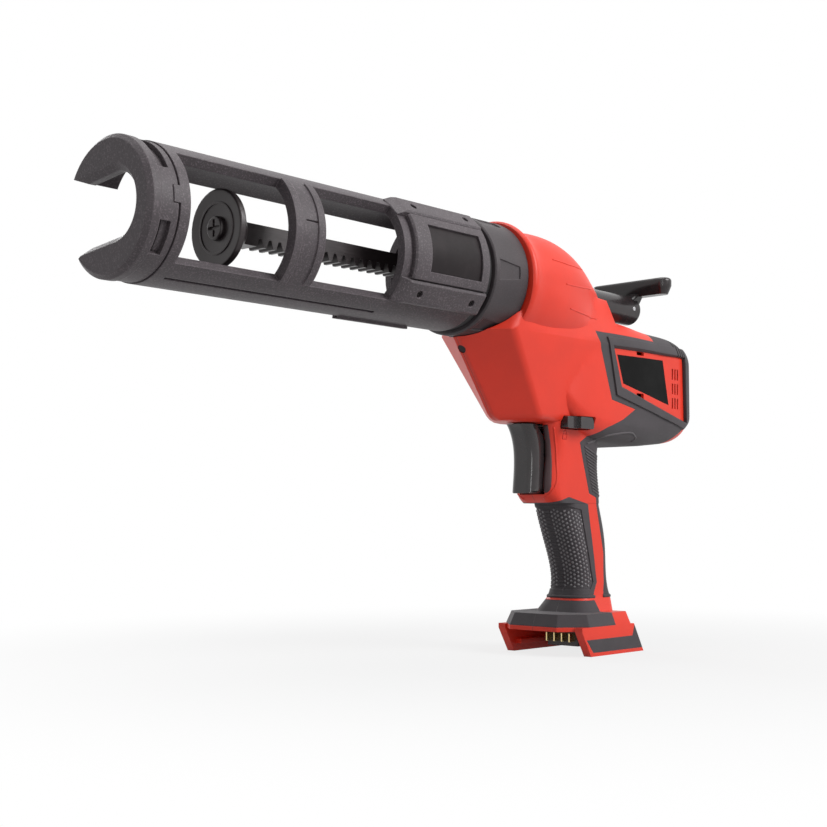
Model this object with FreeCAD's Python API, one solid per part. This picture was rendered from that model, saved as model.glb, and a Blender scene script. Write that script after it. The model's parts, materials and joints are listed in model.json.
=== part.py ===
import FreeCAD, Part
import math
import os

# Cordless caulking tool, in millimetres and degrees.
# X runs forward to the muzzle, Y to the tool's left and Z up.
# The origin is the centre of the foot's underside, where a battery slides on.

# Shared values
axis_height = 248.0
muzzle_x = 385.0
overrun = 2.0
running_gap = 0.05
moving_gap = 0.4
seam_gap = 0.1

# Nose cap
holder_radius = 36.0
holder_bore = 30.5
cap_length = 18.5
cap_plate = 7.0
cap_skirt_wall = 3.0
cap_edge_chamfer = 2.5
slot_half_width = 16.5
slot_reach = 22.0
slot_bevel = 3.0
lip_flare = 6.5
lip_length = 14.0
cap_window_length = 7.0
# Angles between which each window lies
cap_window_angles = ((21.5, 68.0), (-51.5, -22.5))
cap_seam = 0.8
cap_rim_length = 7.0
cap_rim_step = 0.6

# Cradle
spigot_length = 8.5
ring_length = 6.0
tab_half_angle = 7.0
tab_length = 4.0
bay_length = 153.9
band_offset = 69.0
band_length = 21.7
band_rim_height = 0.9
band_rim_length = 5.0
band_rim_margin = 1.0
window_low_angle = -56.0
window_high_angle = 43.0
band_notch_length = 8.5
band_notch_angle = 1.5
band_notch_half_angle = 0.9
band_notch_depth = 1.0
bar_groove_angle = 14.5
bar_groove_half_angle = 1.6
bar_groove_depth = 1.4
loading_half_angle = 63.5
loading_setback = 15.0
holder_turn = 5.5
sleeve_length = 73.6
sleeve_rail_angle = 14.0
sleeve_rail_lead = 15.0
sleeve_rail_half_angle = 5.0
sleeve_rail_height = 1.8
sleeve_rail_length = 58.0

# Sleeve cover, inlay and screws
cover_setback = 6.8
cover_pad_height = 1.2
cover_frame_height = 3.6
cover_half_angle = 51.0
frame_half_angle = 29.0
plank_top = 39.4
plank_half_width = 7.6
plank_bevel = 1.2
cover_chamfer = 1.2
inlay_half_angle = 21.0
inlay_front_margin = 13.0
inlay_rear_margin = 7.5
inlay_depth = 2.4
inlay_recess = 1.2
cover_screw_angle = 42.0
cover_screw_front = 10.5
cover_screw_rear = 9.5
cover_screw_head_radius = 2.4
cover_screw_head = 1.3
cover_screw_sink = 1.3
cover_screw_radius = 1.3
cover_screw_bite = 7.5
recess_width = 0.8
recess_depth = 0.7

# Swivel joint and collar
hub_flange = 8.5
hub_neck_radius = 24.0
hub_bore = 12.5
seal_radius = 34.6
seal_length = 6.6
collar_radius = 38.0
collar_length = 33.0
collar_bore = 31.0
collar_lip = 2.6
collar_chamfer = 1.0
collar_grip_count = 6
collar_grip_depth = 0.7
collar_grip_wide = 20.0
collar_grip_narrow = 12.0
collar_grip_length = 20.0
collar_grip_margin = 4.0
pointer_length = 5.0
pointer_half_angle = 3.5
pointer_depth = 0.6
bush_setback = 2.0
bush_depth = 22.0
retainer_width = 2.0
retainer_radius = 27.5
retainer_groove = 1.5
neck_tail = 2.0

# Rack rod, piston and pull handle
rod_width = 12.0
rod_top = 5.0
rack_tip = 7.0
rack_module = 2.25
rack_addendum_share = 0.8
rack_dedendum_share = 1.25
pressure_angle = 20.0
rack_backlash = 0.12
rack_start = 9.0
rack_back = 45.0
piston_setback = 69.0
piston_radius = 21.2
piston_rim = 4.0
piston_cone = 9.0
piston_hub_radius = 11.0
piston_rib_radius = 13.0
piston_rib_width = 1.2
piston_dish = 1.2
piston_dish_margin = 1.4
piston_recess_width = 1.8
piston_recess_depth = 1.4
piston_screw_radius = 3.0
piston_screw_head_radius = 6.5
piston_screw_head = 2.6
piston_screw_length = 22.0
handle_bar_x = -80.0
handle_bar_half_span = 33.5
handle_bar_depth = 13.0
handle_bar_low = 10.0
handle_bar_high = 22.0
handle_bar_taper = 2.5
handle_boss_radius = 10.6
handle_boss_front = 84.0
handle_boss_end = 2.0
handle_boss_round = 3.0
handle_rod_cover = 3.5
handle_web_half_width = 7.0
handle_web_front = 20.0
handle_pin_radius = 1.5
handle_pin_setback = 12.0

# Housing form
shell_wall = 4.0
skin_depth = 1.6
front_wall = 6.0
head_radius = 40.5
head_length = 131.0
# Share of the length, then of the radius: half width, top and corner
head_lip_shares = ((0.00, 1.003, 0.935, 0.925), (0.012, 1.037, 0.966, 0.954))
head_station_shares = (
    (0.05, 1.028, 0.912, 0.93),
    (0.157, 0.99, 0.855, 0.845),
    (0.363, 0.914, 0.827, 0.76),
    (0.554, 0.76, 0.659, 0.64),
    (0.707, 0.548, 0.462, 0.49),
    (0.829, 0.365, 0.284, 0.345),
    (0.936, 0.235, 0.049, 0.22),
    (1.00, 0.16, -0.12, 0.15),
)
belly_top = 214.0
belly_bottom = 158.0
belly_nose_top_x = 123.5
belly_nose_bottom_x = 82.8
belly_nose_half = 2.5
belly_sweep = 24.0
belly_crown_sweep = 5.0
belly_crown_half_width = 36.0
belly_crown_rear_half_width = 16.0
belly_top_half_width = 31.5
belly_bottom_half_width = 22.0
belly_rear_x = -25.0
belly_nose_round = 1.5
belly_shoulder_round = 9.0
belly_edge_round = 5.0
belly_round_steps = 3
motor_front_x = 12.0
motor_case_length = 133.0
motor_case_low = 146.0
motor_case_height = 92.0
motor_half_width = 31.5
# Share of the length, then of the half width, low edge, high edge, low and high corner
motor_station_shares = (
    (-0.21, 0.78, 0.28, 0.80, 0.46, 0.50),
    (0.00, 0.965, 0.06, 0.90, 0.46, 0.60),
    (0.25, 1.00, 0.01, 0.955, 0.46, 0.62),
    (0.52, 1.00, 0.00, 0.925, 0.46, 0.63),
    (0.75, 0.985, 0.03, 0.905, 0.46, 0.62),
    (0.90, 0.94, 0.075, 0.875, 0.46, 0.58),
    (1.00, 0.72, 0.21, 0.77, 0.40, 0.44),
)
grip_base = 38.0
grip_height = 78.0
grip_half_width = 16.0
grip_front_x = 6.0
grip_back_x = -32.0
grip_depth = 38.0
# Share of the height, then of the depth: front and back shift, and of the half width
grip_station_shares = (
    (0.00, 0.06, -0.06, 1.08),
    (0.12, 0.00, 0.00, 1.00),
    (0.35, 0.08, 0.05, 1.00),
    (0.60, 0.29, 0.13, 1.02),
    (0.83, 0.46, 0.29, 1.04),
    (1.00, 0.55, 0.36, 1.06),
)
grip_round = 10.5
neck_base = 104.0
neck_height = 66.0
neck_front_x = 41.0
neck_back_x = -15.0
neck_half_width = 18.5
neck_depth = 56.0
neck_station_shares = (
    (0.00, -0.10, -0.10, 0.91),
    (0.12, 0.02, -0.065, 0.95),
    (0.40, 0.00, 0.00, 1.00),
    (0.70, 0.01, -0.02, 1.08),
    (1.00, 0.04, -0.03, 1.22),
)
neck_round = 10.0

# Foot
foot_front_x = 40.5
foot_rear_x = -29.0
foot_flat = 20.0
foot_half_width = 36.0
foot_chamfer = 16.0
foot_seat = 17.0
foot_rim = 20.0
foot_wall_top = 28.5
foot_draft = 3.4
foot_rear_round = 6.0
foot_collar_front_x = 14.0
foot_collar_back_x = -30.0
foot_collar_half_width = 23.0
foot_collar_round = 12.0
skirt_wall = 6.0
skirt_front_x = 33.0
skirt_toe_x = 22.6
skirt_heel_x = -41.0
skirt_back_wall = 6.0
rail_low = 5.0
rail_high = 8.5
rail_reach = 4.0
rail_front_x = 20.0
foot_pocket_front_x = 24.0
foot_pocket_back_x = -22.0
foot_pocket_half_width = 24.0
foot_pocket_high = 26.5
foot_floor = 2.5

# Overmoulds, panels and plates, as outlines seen from the side.
# Places along and up the motor case are shares of its length and height.
surround_outline_shares = (
    (0.03, 0.83),
    (0.155, 0.325),
    (0.37, 0.27),
    (0.26, 0.185),
    (0.13, 0.115),
    (0.00, 0.005),
)
surround_top_shares = ((0.594, 0.826), (0.647, 1.10))
surround_rear_shares = ((1.10, 1.10), (1.10, 0.24), (0.97, 0.24), (0.72, 0.00))
panel_outline_shares = ((0.17, 0.72), (0.245, 0.44), (0.90, 0.205), (0.875, 0.73))
label_outline_shares = ((0.22, 0.675), (0.275, 0.46), (0.725, 0.335), (0.665, 0.685))
panel_recess = 1.6
panel_depth = 2.4
label_depth = 0.6
frame_margin = 7.0
frame_bevel = 2.8
frame_lift = 1.3
frame_edge = 0.4
latch_place_share = 0.436
latch_length = 9.0
latch_height = 2.6
groove_count = 4
groove_pitch = 3.4
groove_width = 1.3
groove_depth = 1.0
groove_first_share = 0.80
groove_low_share = 0.72
vent_count = 3
vent_rows = 3
vent_width = 1.6
vent_gap = 3.6
vent_first_share = 0.765
vent_low_share = 0.31
vent_high_share = 0.66
vent_break_share = 0.03
# Places down the grip, as shares of its depth and height
back_grip_outline_shares = (
    (0.28, 1.383),
    (0.64, 0.935),
    (0.866, 0.90),
    (1.15, 0.40),
    (1.17, 0.14),
    (1.12, 0.025),
)
front_grip_outline_shares = (
    (0.03, 0.90),
    (0.64, 0.84),
    (0.866, 0.35),
    (0.95, 0.14),
    (0.81, 0.025),
)
front_grip_top_share = 0.82
# The sunk field in the front grip, in the same shares
grip_field_outline_shares = ((0.12, 0.815), (0.44, 0.79), (0.73, 0.33), (0.84, 0.14), (0.74, 0.075))
grip_field_depth = 0.7
bumper_rear_x = -6.5
grip_band = 1.6
trim_margin = 2.5
trim_front_x = 28.0
trim_toe_x = 20.0
trim_inner_x = -27.0
trim_high = 11.5
trim_heel_high = 19.0

# Trigger, switch and lock bolt
trigger_front_x = 54.0
trigger_flare = 7.0
trigger_top = 157.0
trigger_bottom = 110.5
trigger_half_width = 10.0
trigger_back_x = 41.0
trigger_round = 6.0
trigger_flare_height = 12.0
trigger_dish = 1.5
trigger_relief = 7.5
trigger_relief_low = 148.0
trigger_toe_round = 4.5
skirt_back_x = 27.0
skirt_half_width = 8.6
skirt_top = 138.0
trigger_travel = 8.0
pocket_play = 0.6
switch_length = 24.0
switch_half_width = 8.0
switch_low = 118.0
switch_high = 148.0
lock_front_x = 35.5
lock_rear_x = 9.5
lock_low = 154.5
lock_high = 162.5
lock_left_y = 29.0
lock_right_y = -21.0
lock_step = 3.0
lock_step_length = 11.0
lock_round = 1.4

# Drive
pinion_x = 46.0
pinion_teeth = 14
pinion_half_width = 7.0
pinion_clearance_share = 0.25
flank_points = 5
shaft_radius = 5.0
bearing_radius = 8.0
bearing_width = 5.0
cheek_inner = 9.0
cheek_half_length = 13.0
gearbox_axis = 190.0
gearbox_radius = 21.0
gearbox_rear_x = -30.0
gearbox_front_x = 24.0
gearbox_base_low = 174.0
gearbox_base_high = 206.0
guide_height = 7.0
motor_radius = 19.0
motor_length = 66.0
motor_edge = 2.0
motor_tail_radius = 7.0
motor_tail = 4.0
rib_width = 3.0
rib_rear_inset = 10.0
rib_front_inset = 12.0
rear_bush_wall = 3.4
rear_bush_length = 24.0
rear_bush_x = 8.0
rear_hole_length = 60.0

# Screws that join the shells, as (x, z)
boss_places = ((36.0, 273.0), (70.0, 186.0), (-45.0, 226.0), (2.0, 164.0), (-99.0, 162.0), (-14.5, 72.0))
boss_radius = 4.2
housing_screw_radius = 1.6
housing_screw_head_radius = 3.0
housing_screw_head = 2.2
housing_screw_sink = 2.0
housing_screw_reach = 14.0

# Foot fittings
terminal_front_x = 6.0
terminal_rear_x = -24.0
terminal_half_width = 13.0
terminal_low = 4.5
blade_count = 4
blade_length = 12.0
blade_width = 6.0
blade_thickness = 1.0
blade_pitch = 6.5
board_half_width = 18.0
board_front_x = 18.0
board_rear_x = -12.0
board_thickness = 1.6
board_post_radius = 2.0
board_post_inset = 4.0
board_post = 1.2

# Work light
light_radius = 3.0
light_depth = 6.0
light_drop_share = 0.14
light_sink = 0.6

# Derived places
cap_rear_x = muzzle_x - cap_length
ring_rear_x = cap_rear_x - ring_length
sleeve_front_x = ring_rear_x - bay_length
sleeve_rear_x = sleeve_front_x - sleeve_length
seal_rear_x = sleeve_rear_x - seal_length
collar_front_x = seal_rear_x - moving_gap
collar_rear_x = collar_front_x - collar_length
head_front_x = collar_rear_x - moving_gap
bush_rear_x = head_front_x - bush_depth
piston_face_x = muzzle_x - piston_setback
rod_front_x = piston_face_x - piston_rim
boss_end_x = handle_bar_x + handle_boss_end
rod_rear_x = boss_end_x + handle_rod_cover
rack_pitch = math.pi * rack_module
rack_addendum = rack_addendum_share * rack_module
rack_dedendum = rack_dedendum_share * rack_module
rack_pitch_line = axis_height - rack_tip + rack_addendum
pinion_pitch_radius = rack_module * pinion_teeth / 2
pinion_z = rack_pitch_line - pinion_pitch_radius
cheek_outer = cheek_inner + bearing_width
guide_low = axis_height + rod_top + running_gap
boss_front_x = handle_bar_x + handle_boss_front
pocket_half_width = trigger_half_width + pocket_play
pocket_back_x = skirt_back_x - trigger_travel - moving_gap

FORWARD = FreeCAD.Vector(1, 0, 0)
LEFT = FreeCAD.Vector(0, 1, 0)
UP = FreeCAD.Vector(0, 0, 1)
ORIGIN = FreeCAD.Vector(0, 0, 0)
AXIS_POINT = FreeCAD.Vector(0, 0, axis_height)
FAR = 2 * muzzle_x


def vec(x, y, z):
    return FreeCAD.Vector(x, y, z)


def fused(first, *others):
    """Join solids and merge the faces that lie in one surface."""
    return first.fuse(list(others)).removeSplitter()


def box(x_low, x_high, y_low, y_high, z_low, z_high):
    """A box between two corners."""
    return Part.makeBox(x_high - x_low, y_high - y_low, z_high - z_low, vec(x_low, y_low, z_low))


def rod_x(radius, x_low, x_high, y=0, z=axis_height):
    """A round bar along X, on the barrel axis unless placed elsewhere."""
    return Part.makeCylinder(radius, x_high - x_low, vec(x_low, y, z), FORWARD)


def rod_y(radius, y_low, y_high, x, z):
    """A round bar along Y."""
    return Part.makeCylinder(radius, y_high - y_low, vec(x, y_low, z), LEFT)


def tube_x(inner, outer, x_low, x_high):
    """A tube on the barrel axis."""
    return rod_x(outer, x_low, x_high).cut(rod_x(inner, x_low - overrun, x_high + overrun))


def cone_x(radius_low, radius_high, x_low, x_high):
    """A cone frustum on the barrel axis."""
    return Part.makeCone(radius_low, radius_high, x_high - x_low, vec(x_low, 0, axis_height), FORWARD)


def around(radius, angle, x):
    """A point at a radius and an angle about the barrel axis, from +Y towards +Z."""
    turn = math.radians(angle)
    return vec(x, radius * math.cos(turn), axis_height + radius * math.sin(turn))


def sector(inner, outer, x_low, x_high, angle_low, angle_high):
    """A part of a tube on the barrel axis, between two angles."""
    corners = [(inner, x_low), (outer, x_low), (outer, x_high), (inner, x_high)]
    points = [around(radius, angle_low, x) for radius, x in corners]
    face = Part.Face(Part.makePolygon(points + points[:1]))
    return face.revolve(AXIS_POINT, FORWARD, angle_high - angle_low)


def flat_prism(points, y_low, y_high):
    """A side-view outline of (x, z) points, carried along Y."""
    loop = [vec(x, y_low, z) for x, z in points]
    face = Part.Face(Part.makePolygon(loop + loop[:1]))
    return face.extrude(LEFT * (y_high - y_low))


def rounded_wire(corners, radii, place):
    """A closed outline with a tangent arc at each corner.

    corners are (a, b) pairs and place turns a pair into a point in space.
    """
    starts = []
    for index, (a, b) in enumerate(corners):
        before = corners[index - 1]
        after = corners[(index + 1) % len(corners)]
        radius = radii[index]
        to_before = FreeCAD.Vector(before[0] - a, before[1] - b, 0).normalize()
        to_after = FreeCAD.Vector(after[0] - a, after[1] - b, 0).normalize()
        half = to_before.getAngle(to_after) / 2
        corner = FreeCAD.Vector(a, b, 0)
        inward = (to_before + to_after).normalize()
        centre = corner + inward * (radius / math.sin(half))
        run = radius / math.tan(half)
        starts.append((corner + to_before * run, centre - inward * radius, corner + to_after * run))
    edges = []
    for index, (start, middle, end) in enumerate(starts):
        following = starts[(index + 1) % len(starts)][0]
        edges.append(Part.Arc(*[place(p.x, p.y) for p in (start, middle, end)]).toShape())
        edges.append(Part.LineSegment(place(end.x, end.y), place(following.x, following.y)).toShape())
    return Part.Wire(edges)


def rounded_box_wire(a_low, a_high, b_low, b_high, radius, place):
    """A rectangle with equal rounded corners."""
    corners = [(a_low, b_low), (a_high, b_low), (a_high, b_high), (a_low, b_high)]
    return rounded_wire(corners, [radius] * len(corners), place)


def at_x(x):
    """Places (y, z) pairs in a plane across X."""
    return lambda a, b: vec(x, a, b)


def at_y(y):
    """Places (x, z) pairs in a plane across Y."""
    return lambda a, b: vec(a, y, b)


def at_z(z):
    """Places (x, y) pairs in a plane across Z."""
    return lambda a, b: vec(a, b, z)


def loft(wires, ruled=False):
    """A solid through the given outlines."""
    return Part.makeLoft(wires, True, ruled)


def mirrored(shape):
    """The same piece on the other side of the tool."""
    return shape.mirror(ORIGIN, LEFT)


def left_half(shape):
    return shape.common(box(-FAR, FAR, 0, FAR, -FAR, FAR))


def right_half(shape):
    return shape.common(box(-FAR, FAR, -FAR, 0, -FAR, FAR))


def mouth_cut(x_low, x_high, grow=0.0):
    """The nozzle mouth: a slot with a round end, open to the right with flared lips."""
    half = slot_half_width + grow
    centre_y = slot_reach - slot_half_width
    length = x_high - x_low
    slot = box(x_low, x_high, -FAR, centre_y, axis_height - half, axis_height + half)
    end = rod_x(half, x_low, x_high, y=centre_y)
    flare_start = -math.sqrt(holder_radius ** 2 - slot_half_width ** 2) + lip_length
    flare = half + lip_flare
    flare_end = flare_start - lip_length
    points = [
        vec(x_low, flare_start, axis_height - half),
        vec(x_low, flare_end, axis_height - flare),
        vec(x_low, flare_end - lip_length, axis_height - flare),
        vec(x_low, flare_end - lip_length, axis_height + flare),
        vec(x_low, flare_end, axis_height + flare),
        vec(x_low, flare_start, axis_height + half),
    ]
    lips = Part.Face(Part.makePolygon(points + points[:1])).extrude(FORWARD * length)
    return slot.fuse([end, lips])


def nose_cap():
    """The front cap: an end plate with the nozzle mouth and a skirt over the cradle's spigot."""
    rim_x = muzzle_x - cap_rim_length
    skirt = rod_x(holder_radius - cap_rim_step, cap_rear_x + cap_seam, rim_x + overrun)
    cap = rod_x(holder_radius, rim_x, muzzle_x)
    rim = [edge for edge in cap.Edges if edge.BoundBox.XMin > muzzle_x - seam_gap]
    cap = fused(cap.makeChamfer(cap_edge_chamfer, rim), skirt)
    inside = rod_x(holder_radius - cap_skirt_wall, cap_rear_x - overrun, muzzle_x - cap_plate)
    cap = cap.cut(inside)
    window_rear = muzzle_x - cap_plate - cap_window_length
    windows = [
        sector(holder_bore, holder_radius + overrun, window_rear, muzzle_x - cap_plate, low, high)
        for low, high in cap_window_angles
    ]
    notch = sector(
        holder_bore, holder_radius + overrun,
        cap_rear_x - overrun, cap_rear_x + tab_length, -tab_half_angle, tab_half_angle,
    )
    cap = cap.cut(windows + [notch])
    cap = cap.cut(mouth_cut(cap_rear_x - overrun, muzzle_x + overrun))
    bevel_rear = muzzle_x - slot_bevel
    centre_y = slot_reach - slot_half_width
    bevel_start = vec(bevel_rear, centre_y, axis_height)
    bevel_wide = slot_half_width + slot_bevel
    end_bevel = Part.makeCone(slot_half_width, bevel_wide, slot_bevel, bevel_start, FORWARD)
    points = [
        vec(bevel_rear, centre_y, axis_height - slot_half_width),
        vec(muzzle_x, centre_y, axis_height - slot_half_width - slot_bevel),
        vec(muzzle_x, centre_y, axis_height + slot_half_width + slot_bevel),
        vec(bevel_rear, centre_y, axis_height + slot_half_width),
    ]
    side_bevel = Part.Face(Part.makePolygon(points + points[:1])).extrude(LEFT * -(holder_radius + centre_y))
    return cap.cut([end_bevel, side_bevel])


def cradle():
    """The open cradle: a front ring with a spigot, two bars, a side band and the rear sleeve."""
    body = tube_x(holder_bore, holder_radius, sleeve_rear_x, cap_rear_x)
    spigot_radius = holder_radius - cap_skirt_wall - seam_gap
    spigot = tube_x(holder_bore, spigot_radius, cap_rear_x, cap_rear_x + spigot_length)
    tab = sector(
        holder_bore, holder_radius, cap_rear_x, cap_rear_x + tab_length - seam_gap,
        -tab_half_angle + seam_gap, tab_half_angle - seam_gap,
    )
    body = body.fuse([spigot, tab])
    quarter = 90.0
    band_front_x = ring_rear_x - band_offset
    band_rear_x = band_front_x - band_length
    reach = holder_radius + overrun
    depth = holder_bore - overrun
    low_turn, high_turn = window_low_angle, window_high_angle
    front_window = sector(depth, reach, band_front_x, ring_rear_x, low_turn, high_turn)
    rear_window = sector(depth, reach, sleeve_front_x, band_rear_x, low_turn, high_turn)
    half_turn = 180.0
    loading = sector(
        depth, reach, sleeve_rear_x + loading_setback, ring_rear_x,
        half_turn - loading_half_angle, half_turn + loading_half_angle,
    )
    body = body.cut([front_window, rear_window, loading])
    body = body.cut(mouth_cut(ring_rear_x - seam_gap, cap_rear_x + spigot_length + overrun))
    rims = [
        sector(
            holder_radius - band_rim_height, holder_radius + band_rim_height,
            low, low + band_rim_length, low_turn + band_rim_margin, high_turn - band_rim_margin,
        )
        for low in (band_rear_x, band_front_x - band_rim_length)
    ]
    notch = sector(
        holder_radius - band_notch_depth, reach, band_rear_x + band_rim_length,
        band_rear_x + band_rim_length + band_notch_length,
        band_notch_angle - band_notch_half_angle, band_notch_angle + band_notch_half_angle,
    )
    rails = []
    grooves = []
    rail_front_end = sleeve_front_x + sleeve_rail_lead
    for side in (-1, 1):
        place = side * quarter
        rail_turn = place + side * sleeve_rail_angle
        rails.append(sector(
            holder_radius - sleeve_rail_height, holder_radius + sleeve_rail_height,
            rail_front_end - sleeve_rail_length, rail_front_end,
            rail_turn - sleeve_rail_half_angle, rail_turn + sleeve_rail_half_angle,
        ))
        for upright in (-1, 1):
            groove_turn = place + upright * bar_groove_angle
            grooves.append(sector(
                holder_radius - bar_groove_depth, holder_radius + overrun,
                sleeve_front_x + bar_groove_depth, ring_rear_x - bar_groove_depth,
                groove_turn - bar_groove_half_angle, groove_turn + bar_groove_half_angle,
            ))
    body = fused(body, *rims, *rails).cut(grooves + [notch])
    return body.cut(cover_screw_shanks())


def cover_screw_places():
    """The angle and the place along the barrel of each cover screw."""
    cover_front_x = sleeve_front_x - cover_setback
    places = []
    for turn in (-cover_screw_angle, cover_screw_angle):
        for x in (cover_front_x - cover_screw_front, sleeve_rear_x + cover_screw_rear):
            places.append((turn, x))
    return places


def radial_bar(radius, inner, outer, angle, x):
    """A round bar pointing away from the barrel axis."""
    start = around(inner, angle, x)
    end = around(outer, angle, x)
    return Part.makeCylinder(radius, outer - inner, start, end - start)


def cover_screw_shanks():
    inner = plank_top - cover_screw_bite
    outer = plank_top - cover_screw_sink - cover_screw_head / 2
    return [radial_bar(cover_screw_radius, inner, outer, angle, x) for angle, x in cover_screw_places()]


def cover_screw_heads(grow=0.0):
    top = plank_top - cover_screw_sink
    low = top - cover_screw_head
    return [
        radial_bar(cover_screw_head_radius, low, top + grow, angle, x)
        for angle, x in cover_screw_places()
    ]


def cross_recess(angle, x):
    """The cross in a cover screw's head."""
    top = plank_top - cover_screw_sink
    half = recess_width / 2
    reach = cover_screw_head_radius - half
    low = top - recess_depth
    long_bar = box(x - reach, x + reach, low, top + overrun, axis_height - half, axis_height + half)
    cross_bar = box(x - half, x + half, low, top + overrun, axis_height - reach, axis_height + reach)
    return [turned(bar, angle) for bar in (long_bar, cross_bar)]


def turned(shape, angle):
    """A copy of a piece, turned about the barrel axis."""
    copy = shape.copy()
    copy.rotate(AXIS_POINT, FORWARD, angle)
    return copy


def cover_screws():
    """Four screws that hold the cover to the sleeve."""
    screws = []
    for shank, head, place in zip(cover_screw_shanks(), cover_screw_heads(), cover_screw_places()):
        screws.append(fused(shank, head).cut(cross_recess(*place)))
    return Part.makeCompound(screws)


def plank(angle):
    """A flat screw plank on the cover, with a slanted front end."""
    front = sleeve_front_x - cover_setback
    low = holder_radius - cover_frame_height
    half = plank_half_width
    corners = [
        (low, -half), (plank_top - plank_bevel, -half), (plank_top, -half + plank_bevel),
        (plank_top, half - plank_bevel), (plank_top - plank_bevel, half), (low, half),
    ]
    points = [vec(sleeve_rear_x, a, axis_height + b) for a, b in corners]
    length = sleeve_front_x - sleeve_rear_x
    bar = Part.Face(Part.makePolygon(points + points[:1])).extrude(FORWARD * length)
    drop = plank_top - low
    slant = [
        vec(front, plank_top, axis_height - half - overrun),
        vec(sleeve_front_x, holder_radius, axis_height - half - overrun),
        vec(sleeve_front_x + overrun, low, axis_height - half - overrun),
        vec(sleeve_front_x + drop, plank_top + overrun, axis_height - half - overrun),
        vec(front, plank_top + overrun, axis_height - half - overrun),
    ]
    wedge = Part.Face(Part.makePolygon(slant + slant[:1])).extrude(UP * (plank_half_width + overrun) * 2)
    return turned(bar.cut(wedge), angle)


def sleeve_cover():
    """The left clamp cover: two screw planks and a raised frame round the inlay."""
    front = sleeve_front_x - cover_setback
    pad_radius = holder_radius + cover_pad_height
    pads = sector(holder_radius, pad_radius, sleeve_rear_x, front, -cover_half_angle, cover_half_angle)
    outer = holder_radius + cover_frame_height
    frame = sector(holder_radius, outer, sleeve_rear_x, front, -frame_half_angle, frame_half_angle)
    ends = (front, sleeve_rear_x)
    trim = []
    for x, sign in zip(ends, (-1, 1)):
        inner_x = x + sign * cover_chamfer
        low, high = min(x, inner_x), max(x, inner_x)
        ring = rod_x(outer + overrun, low, high)
        wide, slim = (outer, outer - cover_chamfer)
        taper = cone_x(wide, slim, low, high) if sign < 0 else cone_x(slim, wide, low, high)
        trim.append(ring.cut(taper))
    frame = frame.cut(trim)
    planks = [plank(angle) for angle in (-cover_screw_angle, cover_screw_angle)]
    cover = fused(pads, frame, *planks).cut(rod_x(holder_radius, 0, muzzle_x))
    cover = cover.cut(inlay_blank(0.0))
    return cover.cut(cover_screw_shanks() + cover_screw_heads(overrun))


def inlay_blank(lift):
    """The inlay's pocket, or the inlay itself, by how far it stops below the frame."""
    front = sleeve_front_x - cover_setback - inlay_front_margin
    rear = sleeve_rear_x + inlay_rear_margin
    low = holder_radius + cover_frame_height - inlay_depth
    high = low + inlay_depth - inlay_recess if lift else holder_radius + cover_frame_height + overrun
    return sector(low, high, rear, front, -inlay_half_angle, inlay_half_angle)


def sleeve_inlay():
    """The dark plate in the cover's window."""
    return inlay_blank(inlay_recess)


def swivel_hub():
    """The hub that carries the holder: a flange in the sleeve and a neck through the bush."""
    flange = rod_x(holder_bore, sleeve_rear_x, sleeve_rear_x + hub_flange)
    neck_rear_x = bush_rear_x - moving_gap - retainer_width - neck_tail
    neck = rod_x(hub_neck_radius, neck_rear_x, sleeve_rear_x)
    groove = tube_x(
        hub_neck_radius - retainer_groove, hub_neck_radius + overrun,
        neck_rear_x + neck_tail, neck_rear_x + neck_tail + retainer_width,
    )
    bore = rod_x(hub_bore, neck_rear_x - overrun, sleeve_rear_x + hub_flange + overrun)
    return fused(flange, neck).cut([groove, bore] + cover_screw_shanks())


def hub_retainer():
    """The ring in the neck's groove that stops the hub from pulling out."""
    front = bush_rear_x - moving_gap
    return tube_x(hub_neck_radius - retainer_groove, retainer_radius, front - retainer_width, front)


def swivel_seal():
    """The dark ring between the sleeve and the collar."""
    return tube_x(hub_neck_radius, seal_radius, seal_rear_x, sleeve_rear_x)


def front_bush():
    """The bush in the housing's front wall: the hub turns in it and the collar turns on it."""
    outer = collar_bore - running_gap
    inner = hub_neck_radius + running_gap
    return tube_x(inner, outer, bush_rear_x, collar_front_x - bush_setback)


def locking_collar():
    """The grip collar with shallow finger recesses and a pointer notch."""
    collar = rod_x(collar_radius, collar_rear_x, collar_front_x)
    rims = [edge for edge in collar.Edges if isinstance(edge.Curve, Part.Circle)]
    collar = collar.makeChamfer(collar_chamfer, rims)
    lip_bore = rod_x(collar_bore - collar_lip, collar_front_x - bush_setback, collar_front_x + overrun)
    bore = rod_x(collar_bore, collar_rear_x - overrun, collar_front_x - bush_setback + moving_gap)
    collar = collar.cut([bore, lip_bore])
    recesses = []
    full_turn = 360.0
    step = full_turn / collar_grip_count
    inner = collar_radius - collar_grip_depth
    front = collar_front_x - collar_grip_margin
    for index in range(collar_grip_count):
        middle = index * step
        corners = [
            around(inner, middle - collar_grip_wide / 2, front),
            around(inner, middle + collar_grip_wide / 2, front),
            around(inner, middle + collar_grip_narrow / 2, front - collar_grip_length),
            around(inner, middle - collar_grip_narrow / 2, front - collar_grip_length),
        ]
        outward = around(collar_radius, middle, front) - around(0, middle, front)
        face = Part.Face(Part.makePolygon(corners + corners[:1]))
        recesses.append(face.extrude(outward))
    collar = collar.cut(recesses)
    quarter = 90.0
    tip = [
        around(collar_radius - pointer_depth, quarter - pointer_half_angle, collar_rear_x + collar_chamfer),
        around(collar_radius - pointer_depth, quarter + pointer_half_angle, collar_rear_x + collar_chamfer),
        around(collar_radius - pointer_depth, quarter, collar_rear_x + collar_chamfer + pointer_length),
    ]
    pointer = Part.Face(Part.makePolygon(tip + tip[:1])).extrude(UP * collar_radius)
    return collar.cut(pointer)


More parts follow.
